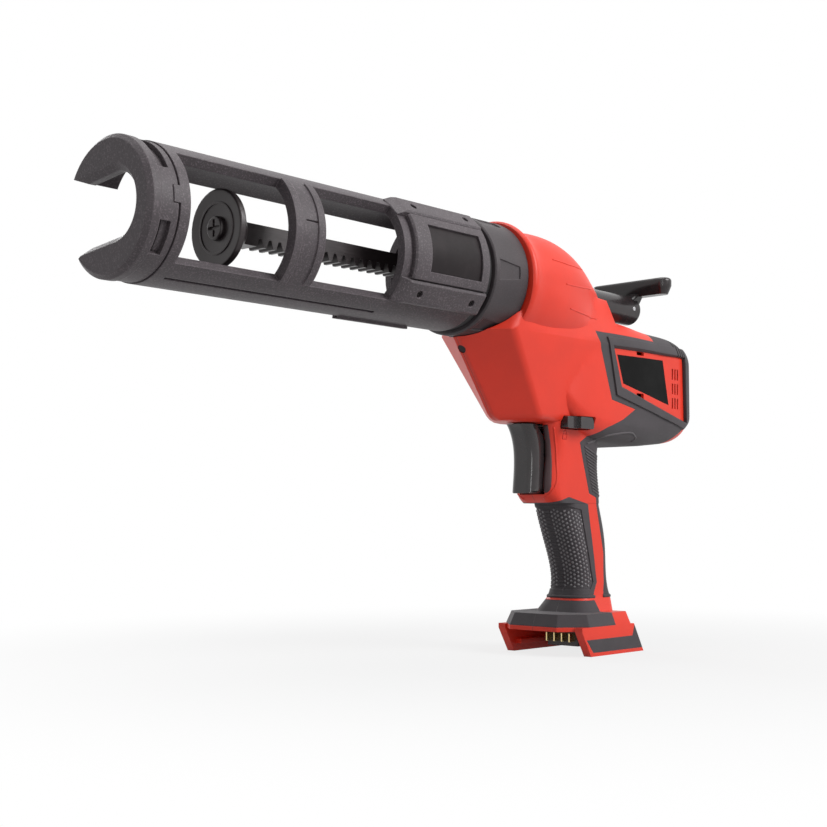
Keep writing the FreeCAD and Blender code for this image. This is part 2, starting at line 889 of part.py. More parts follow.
def rack_rod():
    """The push rod, with rack teeth along its underside."""
    tip_z = axis_height - rack_tip
    half = rod_width / 2
    bar = box(rod_rear_x, rod_front_x, -half, half, tip_z, axis_height + rod_top)
    slope = math.tan(math.radians(pressure_angle))
    half_gap = rack_pitch / 4 + rack_backlash / 2
    mouth = half_gap + rack_addendum * slope
    root = half_gap - rack_dedendum * slope
    root_z = rack_pitch_line + rack_dedendum
    first = math.ceil((pinion_x - rack_back - pinion_x) / rack_pitch)
    last = math.floor((rod_front_x - piston_cone - rack_start - pinion_x) / rack_pitch)
    gaps = []
    for index in range(first, last):
        middle = pinion_x + (index + 0.5) * rack_pitch
        outline = [
            (middle - mouth - slope * overrun, tip_z - overrun),
            (middle + mouth + slope * overrun, tip_z - overrun),
            (middle + root, root_z),
            (middle - root, root_z),
        ]
        gaps.append(flat_prism(outline, -rod_width, rod_width))
    screw = rod_x(piston_screw_radius, rod_front_x - piston_screw_length, rod_front_x + overrun)
    pin = handle_pin()
    return bar.cut(gaps + [screw, pin])


def piston_plate():
    """The plate that pushes the cartridge's plunger, with a coned back on the rod."""
    rim = rod_x(piston_radius, rod_front_x, piston_face_x)
    cone = cone_x(piston_hub_radius, piston_radius - piston_rim, rod_front_x - piston_cone, rod_front_x)
    rib_outer = piston_rib_radius + piston_rib_width
    rib = tube_x(piston_rib_radius, rib_outer, piston_face_x - piston_dish, piston_face_x)
    wide = piston_radius - piston_dish_margin
    dish = cone_x(piston_screw_head_radius, wide, piston_face_x - piston_dish, piston_face_x)
    half = rod_width / 2
    socket = box(
        rod_front_x - piston_cone - overrun, rod_front_x, -half, half,
        axis_height - rack_tip, axis_height + rod_top,
    )
    seat = rod_x(piston_screw_head_radius, piston_face_x - piston_screw_head / 2, piston_face_x + overrun)
    hole = rod_x(piston_screw_radius, rod_front_x - overrun, piston_face_x + overrun)
    edges = [edge for edge in rim.Edges if isinstance(edge.Curve, Part.Circle)]
    rim = rim.makeFillet(piston_rim / 4, edges).cut(dish)
    return fused(rim, cone, rib).cut([socket, seat, hole])


def piston_screw():
    """The screw that holds the piston plate on the rod."""
    seat = piston_face_x - piston_screw_head / 2
    head = rod_x(piston_screw_head_radius, seat, seat + piston_screw_head)
    rim = [edge for edge in head.Edges if edge.BoundBox.XMin > seat + piston_screw_head / 2]
    head = head.makeFillet(piston_screw_head / 2, rim)
    shank = rod_x(piston_screw_radius, rod_front_x - piston_screw_length, seat)
    top = seat + piston_screw_head
    half = piston_recess_width / 2
    reach = piston_screw_head_radius - piston_recess_width
    low = top - piston_recess_depth
    cross = [
        box(low, top + overrun, -reach, reach, axis_height - half, axis_height + half),
        box(low, top + overrun, -half, half, axis_height - reach, axis_height + reach),
    ]
    return fused(head, shank).cut(cross)


def handle_pin():
    """The cross pin that fixes the pull handle to the rod."""
    x = handle_bar_x + handle_pin_setback
    return rod_y(handle_pin_radius, -handle_boss_radius, handle_boss_radius, x, axis_height)


def pull_handle():
    """The rear handle: a boss round the rod, a web and a cross bar for two fingers."""
    low = axis_height + handle_bar_low
    high = axis_height + handle_bar_high
    half = handle_bar_depth / 2
    span = handle_bar_half_span
    end_round = half - seam_gap
    boss = rod_x(handle_boss_radius, boss_end_x, boss_front_x)
    tail = [edge for edge in boss.Edges if edge.BoundBox.XMax < boss_end_x + seam_gap]
    boss = boss.makeFillet(handle_boss_round, tail)
    wide = rounded_box_wire(handle_bar_x - half, handle_bar_x + half, -span, span, end_round, at_z(high))
    mid_z = (low + high) / 2
    slim = rounded_box_wire(
        handle_bar_x - half, handle_bar_x + half, -span, span, end_round, at_z(mid_z)
    )
    base = rounded_box_wire(
        handle_bar_x - half + handle_bar_taper, handle_bar_x + half - handle_bar_taper,
        -span + handle_bar_taper, span - handle_bar_taper, end_round - handle_bar_taper, at_z(low),
    )
    bar = loft([base, slim, wide], True)
    top_edges = [edge for edge in bar.Edges if edge.BoundBox.ZMin > high - seam_gap]
    bar = bar.makeFillet(handle_bar_taper, top_edges)
    reach = handle_web_half_width
    web_low = rounded_box_wire(
        boss_end_x + seam_gap, handle_bar_x + handle_web_front,
        -reach, reach, handle_bar_taper, at_z(axis_height),
    )
    reach = handle_web_half_width + handle_bar_taper
    web_high = rounded_box_wire(
        handle_bar_x - half + handle_bar_taper, handle_bar_x + half - handle_bar_taper,
        -reach, reach, handle_bar_taper, at_z(low + handle_bar_taper),
    )
    web = loft([web_low, web_high], True)
    width = rod_width / 2
    socket = box(
        rod_rear_x, boss_front_x + overrun, -width, width,
        axis_height - rack_tip, axis_height + rod_top,
    )
    return fused(boss, web, bar).cut([socket, handle_pin()])


def head_form(inset, lip=False):
    """The round head behind the collar; the outer form has a rolled lip round its front."""
    wires = []
    stations = list(head_station_shares)
    if inset:
        stations[0] = (front_wall / head_length,) + stations[0][1:]
    if lip:
        stations = list(head_lip_shares) + stations
    last = len(stations) - 1
    for index, (along, width, top, corner) in enumerate(stations):
        x = head_front_x - along * head_length
        if index == last:
            x = x + inset
        half = width * head_radius - inset
        high = axis_height + top * head_radius - inset
        low = axis_height - head_radius + inset
        radius = max(corner * head_radius - inset, seam_gap)
        wires.append(rounded_box_wire(-half, half, low, high, radius, at_x(x)))
    return loft(wires)


def belly_outline(nose_x, half_width, inset, z, sweep=belly_sweep, rear_half_width=None):
    """The belly's plan outline: a narrow nose strip, swept faces and straight sides."""
    nose = belly_nose_half
    shoulder_x = nose_x - sweep
    half = half_width - inset
    tail = rear_half_width - inset if rear_half_width else half
    front = nose_x - inset
    rear = belly_rear_x + inset
    shoulder = shoulder_x - inset / 2
    corners = [(front, -nose), (front, nose), (shoulder, half)]
    corners += [(rear, tail), (rear, -tail), (shoulder, -half)]
    soft = belly_shoulder_round
    tight = belly_nose_round
    return rounded_wire(corners, [tight, tight, soft, tight, tight, soft], at_z(z))


def belly_form(inset):
    """The belly under the head, with its nose leaning back towards the trigger."""
    low = belly_bottom + inset
    height = belly_top - belly_bottom
    rounding = belly_edge_round - inset / 2
    wires = []
    quarter = 90.0
    for step in range(belly_round_steps + 1):
        turn = math.radians(quarter * step / belly_round_steps)
        z = low + rounding * (1 - math.cos(turn))
        draw_in = inset + rounding * (1 - math.sin(turn))
        share = (z - belly_bottom) / height
        nose_x = belly_nose_bottom_x + share * (belly_nose_top_x - belly_nose_bottom_x)
        half = belly_bottom_half_width + share * (belly_top_half_width - belly_bottom_half_width)
        wires.append(belly_outline(nose_x, half, draw_in, z))
    wires.append(belly_outline(belly_nose_top_x, belly_top_half_width, inset, belly_top))
    wires.append(belly_outline(
        head_front_x, belly_crown_half_width, inset, axis_height,
        belly_crown_sweep, belly_crown_rear_half_width,
    ))
    return loft(wires, True)


def motor_point(along, up):
    """A side-view place on the motor case, from shares of its length and height."""
    return (motor_front_x - along * motor_case_length, motor_case_low + up * motor_case_height)


def motor_form(inset):
    """The motor case, falling a little to the rear."""
    wires = []
    last = len(motor_station_shares) - 1
    for index, (along, width, low, high, low_corner, high_corner) in enumerate(motor_station_shares):
        x, low_z = motor_point(along, low)
        high_z = motor_point(along, high)[1]
        if index == last:
            x = x + inset
        half = width * motor_half_width - inset
        base = low_z + inset
        crown = high_z - inset
        corners = [(-half, base), (half, base), (half, crown), (-half, crown)]
        lower = low_corner * motor_half_width - inset
        upper = high_corner * motor_half_width - inset
        wires.append(rounded_wire(corners, [lower, lower, upper, upper], at_x(x)))
    return loft(wires)


def grip_form(inset):
    """The raked grip between the foot and the neck."""
    wires = []
    for up, front, back, width in grip_station_shares:
        front_x = grip_front_x + front * grip_depth - inset
        back_x = grip_back_x + back * grip_depth + inset
        half = width * grip_half_width - inset
        radius = grip_round - inset
        z = grip_base + up * grip_height
        wires.append(rounded_box_wire(back_x, front_x, -half, half, radius, at_z(z)))
    return loft(wires)


def neck_form(inset):
    """The neck behind the trigger, with the lip under it."""
    wires = []
    for index, (up, front, back, width) in enumerate(neck_station_shares):
        front_x = neck_front_x + front * neck_depth - inset
        back_x = neck_back_x + back * neck_depth + inset
        half = width * neck_half_width - inset
        z = neck_base + up * neck_height
        if index == 0:
            z = z + inset
        wires.append(rounded_box_wire(back_x, front_x, -half, half, neck_round - inset, at_z(z)))
    return loft(wires)


def foot_outline(inset, z):
    """The foot's plan outline: a flat front, two chamfers and a rounded back."""
    front = foot_front_x - inset
    half = foot_half_width - inset
    flat = foot_flat - inset / 2
    shoulder = foot_front_x - foot_chamfer - inset / 2
    rear = foot_rear_x + inset
    corners = [(front, -flat), (front, flat), (shoulder, half)]
    corners += [(rear, half), (rear, -half), (shoulder, -half)]
    soft = max(foot_rear_round - inset, seam_gap)
    tight = belly_nose_round
    return rounded_wire(corners, [tight, tight, tight, soft, soft, tight], at_z(z))


def foot_form():
    """The foot's upper body: a rim, a drafted wall and a collar up to the grip."""
    rim = loft([foot_outline(0, foot_seat), foot_outline(0, foot_rim)], True)
    wall = loft([foot_outline(0, foot_rim), foot_outline(foot_draft, foot_wall_top)], True)
    base = rounded_box_wire(
        foot_collar_back_x, foot_collar_front_x, -foot_collar_half_width, foot_collar_half_width,
        foot_collar_round, at_z(foot_wall_top),
    )
    front = grip_front_x + grip_station_shares[0][1] * grip_depth
    back = grip_back_x + grip_station_shares[0][2] * grip_depth
    half = grip_station_shares[0][3] * grip_half_width
    top = rounded_box_wire(back, front, -half, half, grip_round, at_z(grip_base))
    return fused(rim, wall, loft([base, top], True))


def skirt_form():
    """The side skirts and the back wall that stand round the battery's head."""
    side = [
        (skirt_front_x, foot_seat),
        (skirt_toe_x, 0),
        (skirt_heel_x, 0),
        (foot_rear_x, foot_rim),
        (skirt_front_x, foot_rim),
    ]
    inner = foot_half_width - skirt_wall
    left = flat_prism(side, inner, foot_half_width)
    back = [
        (skirt_heel_x, 0),
        (foot_rear_x, foot_rim),
        (foot_rear_x + skirt_back_wall, foot_rim),
        (skirt_heel_x + skirt_back_wall, 0),
    ]
    wall = flat_prism(back, -foot_half_width, foot_half_width)
    rail = box(rail_x_low(), rail_front_x, inner - rail_reach, inner, rail_low, rail_high)
    return fused(left, mirrored(left), wall, rail, mirrored(rail))


def rail_x_low():
    """Where the rails meet the back wall."""
    share = rail_high / foot_rim
    return skirt_heel_x + share * (foot_rear_x - skirt_heel_x) + skirt_back_wall


def body_form(inset):
    """The whole housing's outer form, or the same form drawn in by a wall."""
    forms = [belly_form(inset), motor_form(inset), neck_form(inset), grip_form(inset)]
    forms.append(head_form(inset, lip=not inset))
    whole = forms[0]
    for form in forms[1:]:
        whole = whole.fuse(form)
    return whole.removeSplitter()


def surround_outline():
    """The side outline of the black surround, running on into the back grip."""
    points = [motor_point(*place) for place in surround_outline_shares]
    points += [grip_point(*place) for place in back_grip_outline_shares]
    back = grip_back_x - grip_depth
    points += [(back, points[-1][1]), (back, motor_case_low - overrun)]
    points += [motor_point(*place) for place in reversed(surround_rear_shares)]
    points += [motor_point(*place) for place in reversed(surround_top_shares)]
    return points


def grip_point(along, up):
    """A side-view place on the grip: along from its front line, up from its base."""
    return (grip_front_x + (grip_station_shares[-2][1] - along) * grip_depth, grip_base + up * grip_height)


def front_grip_outline():
    """The side outline of the front grip."""
    points = [grip_point(*place) for place in front_grip_outline_shares]
    front = grip_front_x + grip_depth
    bottom = points[-1][1]
    top = grip_base + front_grip_top_share * grip_height
    return [(front, top)] + points + [(front, bottom)]


def grip_field_outline():
    """The side outline of the sunk field in the front grip."""
    points = [grip_point(*place) for place in grip_field_outline_shares]
    front = grip_front_x + grip_depth
    return [(front, points[0][1])] + points + [(front, points[-1][1])]


def widened(points, margin):
    """An outline with each corner moved away from the middle, along and up."""
    middle_x = sum(x for x, z in points) / len(points)
    middle_z = sum(z for x, z in points) / len(points)
    return [
        (x + math.copysign(margin, x - middle_x), z + math.copysign(margin, z - middle_z))
        for x, z in points
    ]


def frame_bevel_cut(points):
    """The sloped inner edge of the frame round the vent panel."""
    floor_y = motor_half_width - panel_recess + frame_edge
    inner = [vec(x, floor_y, z) for x, z in points]
    top_y = motor_half_width + frame_lift + overrun
    outer = [vec(x, top_y, z) for x, z in widened(points, frame_bevel)]
    wires = [Part.makePolygon(loop + loop[:1]) for loop in (inner, outer)]
    return loft(wires, True)


def latch_slots(points):
    """A slot in the panel's top and bottom edge, where it latches in."""
    middle = motor_point(latch_place_share, 0)[0]
    slots = []
    for z in latch_levels(points, middle):
        slots.append(box(
            middle - latch_length / 2, middle + latch_length / 2, 0, FAR, z - latch_height, z + latch_height,
        ))
    return slots


def latch_levels(points, x):
    """Where the panel's top and bottom edges cross a place along the case."""
    levels = []
    for (x_a, z_a), (x_b, z_b) in zip(points, points[1:] + points[:1]):
        if min(x_a, x_b) < x < max(x_a, x_b):
            levels.append(z_a + (z_b - z_a) * (x - x_a) / (x_b - x_a))
    return levels


def rear_grooves():
    """Short grooves across the top of the motor case, near its rear."""
    low = motor_point(0, groove_low_share)[1]
    grooves = []
    for index in range(groove_count):
        x = motor_point(groove_first_share, 0)[0] - index * groove_pitch
        slab = box(x - groove_width / 2, x + groove_width / 2, -FAR, FAR, low, axis_height)
        grooves.append(slab.cut(motor_form(groove_depth)))
    return grooves


def trim_outline():
    """The black plate in the side of each skirt."""
    slope = (foot_rear_x - skirt_heel_x) / foot_rim
    heel = skirt_heel_x + trim_margin * slope
    return [
        (trim_front_x, trim_high),
        (trim_toe_x, trim_margin),
        (heel, trim_margin),
        (skirt_heel_x + trim_heel_high * slope, trim_heel_high),
        (trim_inner_x, trim_high),
    ]


def side_span(points, y_low=0):
    """A side outline carried from the middle out past the left side."""
    return flat_prism(points, y_low, FAR)


def vent_slots():
    """Three rows of slits behind the label."""
    slots = []
    low = motor_point(0, vent_low_share)[1]
    high = motor_point(0, vent_high_share)[1]
    row_height = (high - low) / vent_rows
    gap = vent_break_share * motor_case_height
    for column in range(vent_count):
        x = motor_point(vent_first_share, 0)[0] - column * vent_gap
        for row in range(vent_rows):
            bottom = low + row * row_height
            high = bottom + row_height - gap
            slots.append(box(x - vent_width / 2, x + vent_width / 2, 0, FAR, bottom, high))
    return slots


def local_side(form, x, z):
    """How far the form's right side lies from the middle at a side-view place."""
    line = Part.LineSegment(vec(x, -FAR, z), vec(x, 0, z)).toShape()
    return line.common(form).BoundBox.YMin


def lock_bolt(grow):
    """The cross bolt's blank, or its guide hole when grown."""
    left = lock_left_y + (FAR if grow else 0)
    right = lock_right_y - (FAR if grow else 0)
    wire = rounded_box_wire(
        lock_rear_x - grow, lock_front_x + grow, lock_low - grow, lock_high + grow, lock_round, at_y(right)
    )
    return Part.Face(wire).extrude(LEFT * (left - right))


def lock_button():
    """The cross bolt that locks the trigger, stepped at its left end."""
    step = box(
        lock_front_x - lock_step_length, lock_front_x + overrun,
        lock_left_y - lock_step, lock_left_y + overrun, 0, axis_height,
    )
    return lock_bolt(0).cut(step)


def trigger():
    """The trigger: a rounded front shell with a flared top, and a skirt that slides in the neck."""
    span = trigger_top - trigger_bottom
    flare_z = trigger_top - trigger_flare_height
    middle_z = trigger_bottom + (flare_z - trigger_bottom) / 2
    top = (trigger_front_x + trigger_flare, trigger_top)
    points = [vec(x, -trigger_half_width, z) for x, z in (
        top, (trigger_front_x, flare_z), (trigger_front_x - trigger_dish, middle_z),
        (trigger_front_x, trigger_bottom),
    )]
    face_curve = Part.BSplineCurve()
    face_curve.interpolate(points)
    back_top = vec(trigger_back_x + trigger_relief, -trigger_half_width, trigger_top)
    back_knee = vec(trigger_back_x, -trigger_half_width, trigger_relief_low)
    back_bottom = vec(trigger_back_x, -trigger_half_width, trigger_bottom)
    edges = [
        face_curve.toShape(),
        Part.LineSegment(points[-1], back_bottom).toShape(),
        Part.LineSegment(back_bottom, back_knee).toShape(),
        Part.LineSegment(back_knee, back_top).toShape(),
        Part.LineSegment(back_top, points[0]).toShape(),
    ]
    shell = Part.Face(Part.Wire(edges)).extrude(LEFT * (2 * trigger_half_width))
    front = [
        edge for edge in shell.Edges
        if edge.BoundBox.ZLength > span / 2 and edge.BoundBox.XMin > trigger_back_x + trigger_dish
    ]
    shell = shell.makeFillet(trigger_round, front)
    wide = trigger_half_width
    corners = [(-wide, trigger_bottom), (wide, trigger_bottom), (wide, axis_height), (-wide, axis_height)]
    radii = [trigger_toe_round, trigger_toe_round, seam_gap, seam_gap]
    toe = Part.Face(rounded_wire(corners, radii, at_x(0))).extrude(FORWARD * muzzle_x)
    back = trigger_back_x + overrun
    skirt = box(skirt_back_x, back, -skirt_half_width, skirt_half_width, trigger_bottom, skirt_top)
    return fused(shell, skirt).common(toe)


def trigger_pocket():
    """The slot in the neck that the trigger slides into."""
    low = trigger_bottom - pocket_play
    return box(pocket_back_x, FAR, -pocket_half_width, pocket_half_width, low, trigger_top + pocket_play)


def trigger_switch():
    """The switch behind the trigger."""
    front = pocket_back_x
    return box(front - switch_length, front, -switch_half_width, switch_half_width, switch_low, switch_high)


def involute(radius, base):
    """The angle an involute has turned through at a radius."""
    swing = math.sqrt(max((radius / base) ** 2 - 1, 0))
    return swing - math.atan(swing)


def drive_pinion():
    """The pinion under the rack, with involute teeth and a gap at its top."""
    base = pinion_pitch_radius * math.cos(math.radians(pressure_angle))
    tip = pinion_pitch_radius + rack_addendum
    root = pinion_pitch_radius - rack_addendum - pinion_clearance_share * rack_module
    thickness = rack_pitch / 2 - rack_backlash
    half_angle = thickness / 2 / pinion_pitch_radius + involute(pinion_pitch_radius, base)
    radii = [base + (tip - base) * index / (flank_points - 1) for index in range(flank_points)]

    def spot(radius, angle):
        x = pinion_x + radius * math.sin(angle)
        return vec(x, -pinion_half_width, pinion_z + radius * math.cos(angle))

    edges = []
    pitch_angle = 2 * math.pi / pinion_teeth
    for tooth in range(pinion_teeth):
        middle = (tooth + 0.5) * pitch_angle
        rise = [spot(r, middle - half_angle + involute(r, base)) for r in radii]
        fall = [spot(r, middle + half_angle - involute(r, base)) for r in reversed(radii)]
        foot_in = spot(root, middle - half_angle)
        foot_out = spot(root, middle + half_angle)
        after = spot(root, middle + pitch_angle - half_angle)
        valley = spot(root, middle + pitch_angle / 2)
        flank_up = Part.BSplineCurve()
        flank_up.interpolate(rise)
        flank_down = Part.BSplineCurve()
        flank_down.interpolate(fall)
        edges.append(Part.LineSegment(foot_in, rise[0]).toShape())
        edges.append(flank_up.toShape())
        edges.append(Part.Arc(rise[-1], spot(tip, middle), fall[0]).toShape())
        edges.append(flank_down.toShape())
        edges.append(Part.LineSegment(fall[-1], foot_out).toShape())
        edges.append(Part.Arc(foot_out, valley, after).toShape())
    blank = Part.Face(Part.Wire(edges)).extrude(LEFT * (2 * pinion_half_width))
    return blank.cut(rod_y(shaft_radius, -FAR, FAR, pinion_x, pinion_z))


def drive_shaft():
    """The cross shaft that carries the pinion."""
    return rod_y(shaft_radius, -cheek_outer, cheek_outer, pinion_x, pinion_z)


def shaft_bearings():
    """A bearing at each end of the cross shaft."""
    rings = []
    for side in (-1, 1):
        low = min(side * cheek_inner, side * cheek_outer)
        ring = rod_y(bearing_radius, low, low + bearing_width, pinion_x, pinion_z)
        rings.append(ring.cut(rod_y(shaft_radius + running_gap, -FAR, FAR, pinion_x, pinion_z)))
    return Part.makeCompound(rings)


def gearbox_case():
    """The gearbox: a drum on the motor, a base block and two cheeks beside the pinion."""
    drum = rod_x(gearbox_radius, gearbox_rear_x, gearbox_front_x, z=gearbox_axis)
    front = pinion_x + cheek_half_length
    base = box(gearbox_front_x, front, -cheek_outer, cheek_outer, gearbox_base_low, gearbox_base_high)
    cheeks = []
    for side in (-1, 1):
        low = min(side * cheek_inner, side * cheek_outer)
        cheek = box(
            pinion_x - cheek_half_length, front, low, low + bearing_width, gearbox_base_low, guide_low
        )
        cheeks.append(cheek.cut(rod_y(bearing_radius, -FAR, FAR, pinion_x, pinion_z)))
    return fused(drum, base, *cheeks).cut(pinion_sweep())


def pinion_sweep():
    """The space that the pinion needs inside the gearbox."""
    tip = pinion_pitch_radius + rack_addendum + moving_gap
    reach = pinion_half_width + moving_gap
    return rod_y(tip, -reach, reach, pinion_x, pinion_z)


def rod_guide():
    """The bridge over the rod that keeps it on the pinion."""
    return box(
        pinion_x - cheek_half_length, pinion_x + cheek_half_length,
        -cheek_outer, cheek_outer, guide_low, guide_low + guide_height,
    )


def motor():
    """The motor can on the gearbox's back, with its bearing tail."""
    can = rod_x(motor_radius, gearbox_rear_x - motor_length, gearbox_rear_x, z=gearbox_axis)
    rear = [edge for edge in can.Edges if edge.BoundBox.XMax < gearbox_rear_x - motor_edge]
    can = can.makeFillet(motor_edge, [edge for edge in rear if isinstance(edge.Curve, Part.Circle)])
    rear_x = gearbox_rear_x - motor_length
    tail = rod_x(motor_tail_radius, rear_x - motor_tail, rear_x, z=gearbox_axis)
    return fused(can, tail)


def rear_bush():
    """The bush that guides the pull handle's boss out of the back of the head."""
    inner = handle_boss_radius + running_gap
    tube = tube_x(inner, handle_boss_radius + rear_bush_wall, rear_bush_x - rear_bush_length, rear_bush_x)
    return tube.common(head_form(0))


def housing_screw(form, x, z):
    """One shell screw, sunk in the right shell and biting into the left."""
    head_y = local_side(form, x, z) + housing_screw_sink
    head = rod_y(housing_screw_head_radius, head_y, head_y + housing_screw_head, x, z)
    shank = rod_y(housing_screw_radius, head_y, housing_screw_reach, x, z)
    return fused(head, shank)


def terminal_block():
    """The contact block that hangs in the foot, behind the battery's head."""
    body = box(
        terminal_rear_x, terminal_front_x, -terminal_half_width, terminal_half_width, terminal_low, foot_seat
    )
    return body.cut(terminal_blades())


def terminal_blades():
    """The contact blades, pointing forward to meet the battery."""
    blades = []
    start = -(blade_count - 1) / 2
    middle = (terminal_low + foot_seat) / 2
    for index in range(blade_count):
        y = (start + index) * blade_pitch
        blades.append(box(
            terminal_front_x - blade_length / 2, terminal_front_x + blade_length / 2,
            y - blade_thickness / 2, y + blade_thickness / 2,
            middle - blade_width / 2, middle + blade_width / 2,
        ))
    return blades


def control_board():
    """The motor control board, on posts above the foot's floor."""
    low = foot_seat + foot_floor + board_post
    return box(
        board_rear_x, board_front_x, -board_half_width, board_half_width, low, low + board_thickness
    )


def board_posts():
    """The posts under the control board."""
    posts = []
    for x in (board_rear_x + board_post_inset, board_front_x - board_post_inset):
        for y in (-board_half_width + board_post_inset, board_half_width - board_post_inset):
            base = vec(x, y, foot_seat + foot_floor)
            posts.append(Part.makeCylinder(board_post_radius, board_post, base, UP))
    return posts


def foot_pocket():
    """The hollow in the foot, above its floor."""
    return box(
        foot_pocket_back_x, foot_pocket_front_x, -foot_pocket_half_width, foot_pocket_half_width,
        foot_seat + foot_floor, foot_pocket_high,
    )


def work_light_axis():
    """Where the light sits on the nose strip, and the strip's outward direction."""
    drop = light_drop_share * (belly_top - belly_bottom)
    lean = (belly_nose_top_x - belly_nose_bottom_x) / (belly_top - belly_bottom)
    z = axis_height - collar_radius - drop
    x = belly_nose_top_x - (belly_top - z) * lean
    outward = vec(1, 0, -lean).normalize()
    return vec(x, 0, z), outward


def work_light(grow):
    """The small lamp under the collar, or its hole."""
    place, outward = work_light_axis()
    start = place - outward * light_depth
    return Part.makeCylinder(light_radius, light_depth - light_sink + grow, start, outward)


def ribs(core):
    """Cross walls inside the shells that hold the motor."""
    rear_x = gearbox_rear_x - motor_length + rib_rear_inset
    front_x = gearbox_rear_x - rib_front_inset
    walls = []
    top = motor_case_low + motor_case_height
    for x in (rear_x, front_x):
        slab = box(x - rib_width / 2, x + rib_width / 2, -FAR, FAR, motor_case_low, top)
        can = rod_x(motor_radius, x - rib_width, x + rib_width, z=gearbox_axis)
        walls.append(slab.common(core).cut(can))
    return walls


def switch_shelf(core):
    """The shelf inside the neck that the switch stands on."""
    front = pocket_back_x
    slab = box(front - switch_length, front, -FAR, FAR, switch_low - rib_width, switch_low)
    return slab.common(core)


def housing_pieces():
    """The two shells and every piece that is let into their outer skin."""
    outer = fused(body_form(0), foot_form(), skirt_form())
    under_skin = fused(body_form(skin_depth), foot_core(skin_depth))
    core = body_form(shell_wall)
    surround = flat_prism(surround_outline(), 0, FAR)
    panel_outline = [motor_point(*place) for place in panel_outline_shares]
    panel_hole = side_span(panel_outline)
    bevelled_hole = panel_hole.fuse(frame_bevel_cut(panel_outline))
    raised = motor_form(-frame_lift).common(side_span(widened(panel_outline, frame_margin)))
    label_hole = side_span([motor_point(*place) for place in label_outline_shares])
    left_outer = left_half(outer)
    pieces = {}
    blanks = [left_outer.common(surround).cut(under_skin)]
    framed = left_outer.fuse(raised).common(surround.cut(bevelled_hole)).cut(under_skin)
    pieces["motor_surround"] = framed.cut(rear_grooves())
    motor_skin = motor_form(panel_recess).common(panel_hole)
    panel = motor_skin.cut(motor_form(panel_recess + panel_depth))
    label = motor_skin.common(label_hole).cut(motor_form(panel_recess + label_depth))
    panel_bare = panel.cut(vent_slots() + latch_slots(panel_outline))
    blanks.append(left_outer.common(side_span(front_grip_outline())).cut(under_skin))
    field = side_span(grip_field_outline()).cut(grip_form(grip_field_depth))
    pieces["front_grip"] = blanks[-1].cut(field)
    bumper_zone = box(bumper_rear_x, FAR, 0, FAR, foot_rim, grip_base - grip_band)
    pieces["foot_bumper"] = left_half(foot_form()).common(bumper_zone).cut(foot_core(skin_depth))
    trim_depth = foot_half_width - skin_depth
    pieces["foot_trim"] = flat_prism(trim_outline(), trim_depth, foot_half_width)
    blanks += [pieces["foot_bumper"], pieces["foot_trim"]]
    cuts = []
    for blank in blanks:
        cuts += [blank, mirrored(blank)]
    panel_cut = left_outer.common(panel_hole).cut(motor_form(panel_recess + panel_depth))
    cuts += [panel_cut, mirrored(panel_cut)]
    shell = outer.cut(cuts).cut(core)
    shell = shell.fuse(ribs(core) + [switch_shelf(core)])
    bush_radius = collar_bore - running_gap
    inner_hole = rod_x(bush_radius, bush_rear_x, head_front_x + overrun)
    collar_room = rod_x(collar_radius + moving_gap, head_front_x, muzzle_x)
    rear_hole = rod_x(handle_boss_radius + rear_bush_wall, rear_bush_x - rear_hole_length, rear_bush_x)
    bosses = [
        rod_y(boss_radius, -FAR, FAR, x, z).common(core) for x, z in boss_places
    ]
    screws = [housing_screw(outer, x, z) for x, z in boss_places]
    wells = [
        rod_y(housing_screw_head_radius, -FAR, screw.BoundBox.YMin, x, z)
        for screw, (x, z) in zip(screws, boss_places)
    ]
    shell = shell.fuse(bosses).cut(
        [inner_hole, collar_room, rear_hole, trigger_pocket(), lock_bolt(moving_gap), work_light(overrun)]
    )
    shell = shell.cut(screws + wells + [foot_pocket()]).fuse(board_posts())
    return shell, pieces, panel_bare, label, screws, wells


def foot_core(inset):
    """The foot's form under its bumper."""
    low = foot_outline(inset, foot_seat + inset)
    high = foot_outline(foot_draft + inset, foot_wall_top - inset)
    wall = loft([low, high], True)
    base = rounded_box_wire(
        foot_collar_back_x + inset, foot_collar_front_x - inset,
        -foot_collar_half_width + inset, foot_collar_half_width - inset,
        foot_collar_round - inset, at_z(foot_wall_top - inset),
    )
    front = grip_front_x + grip_station_shares[0][1] * grip_depth - inset
    back = grip_back_x + grip_station_shares[0][2] * grip_depth + inset
    half = grip_station_shares[0][3] * grip_half_width - inset
    top = rounded_box_wire(back, front, -half, half, grip_round - inset, at_z(grip_base))
    return fused(wall, loft([base, top], True))


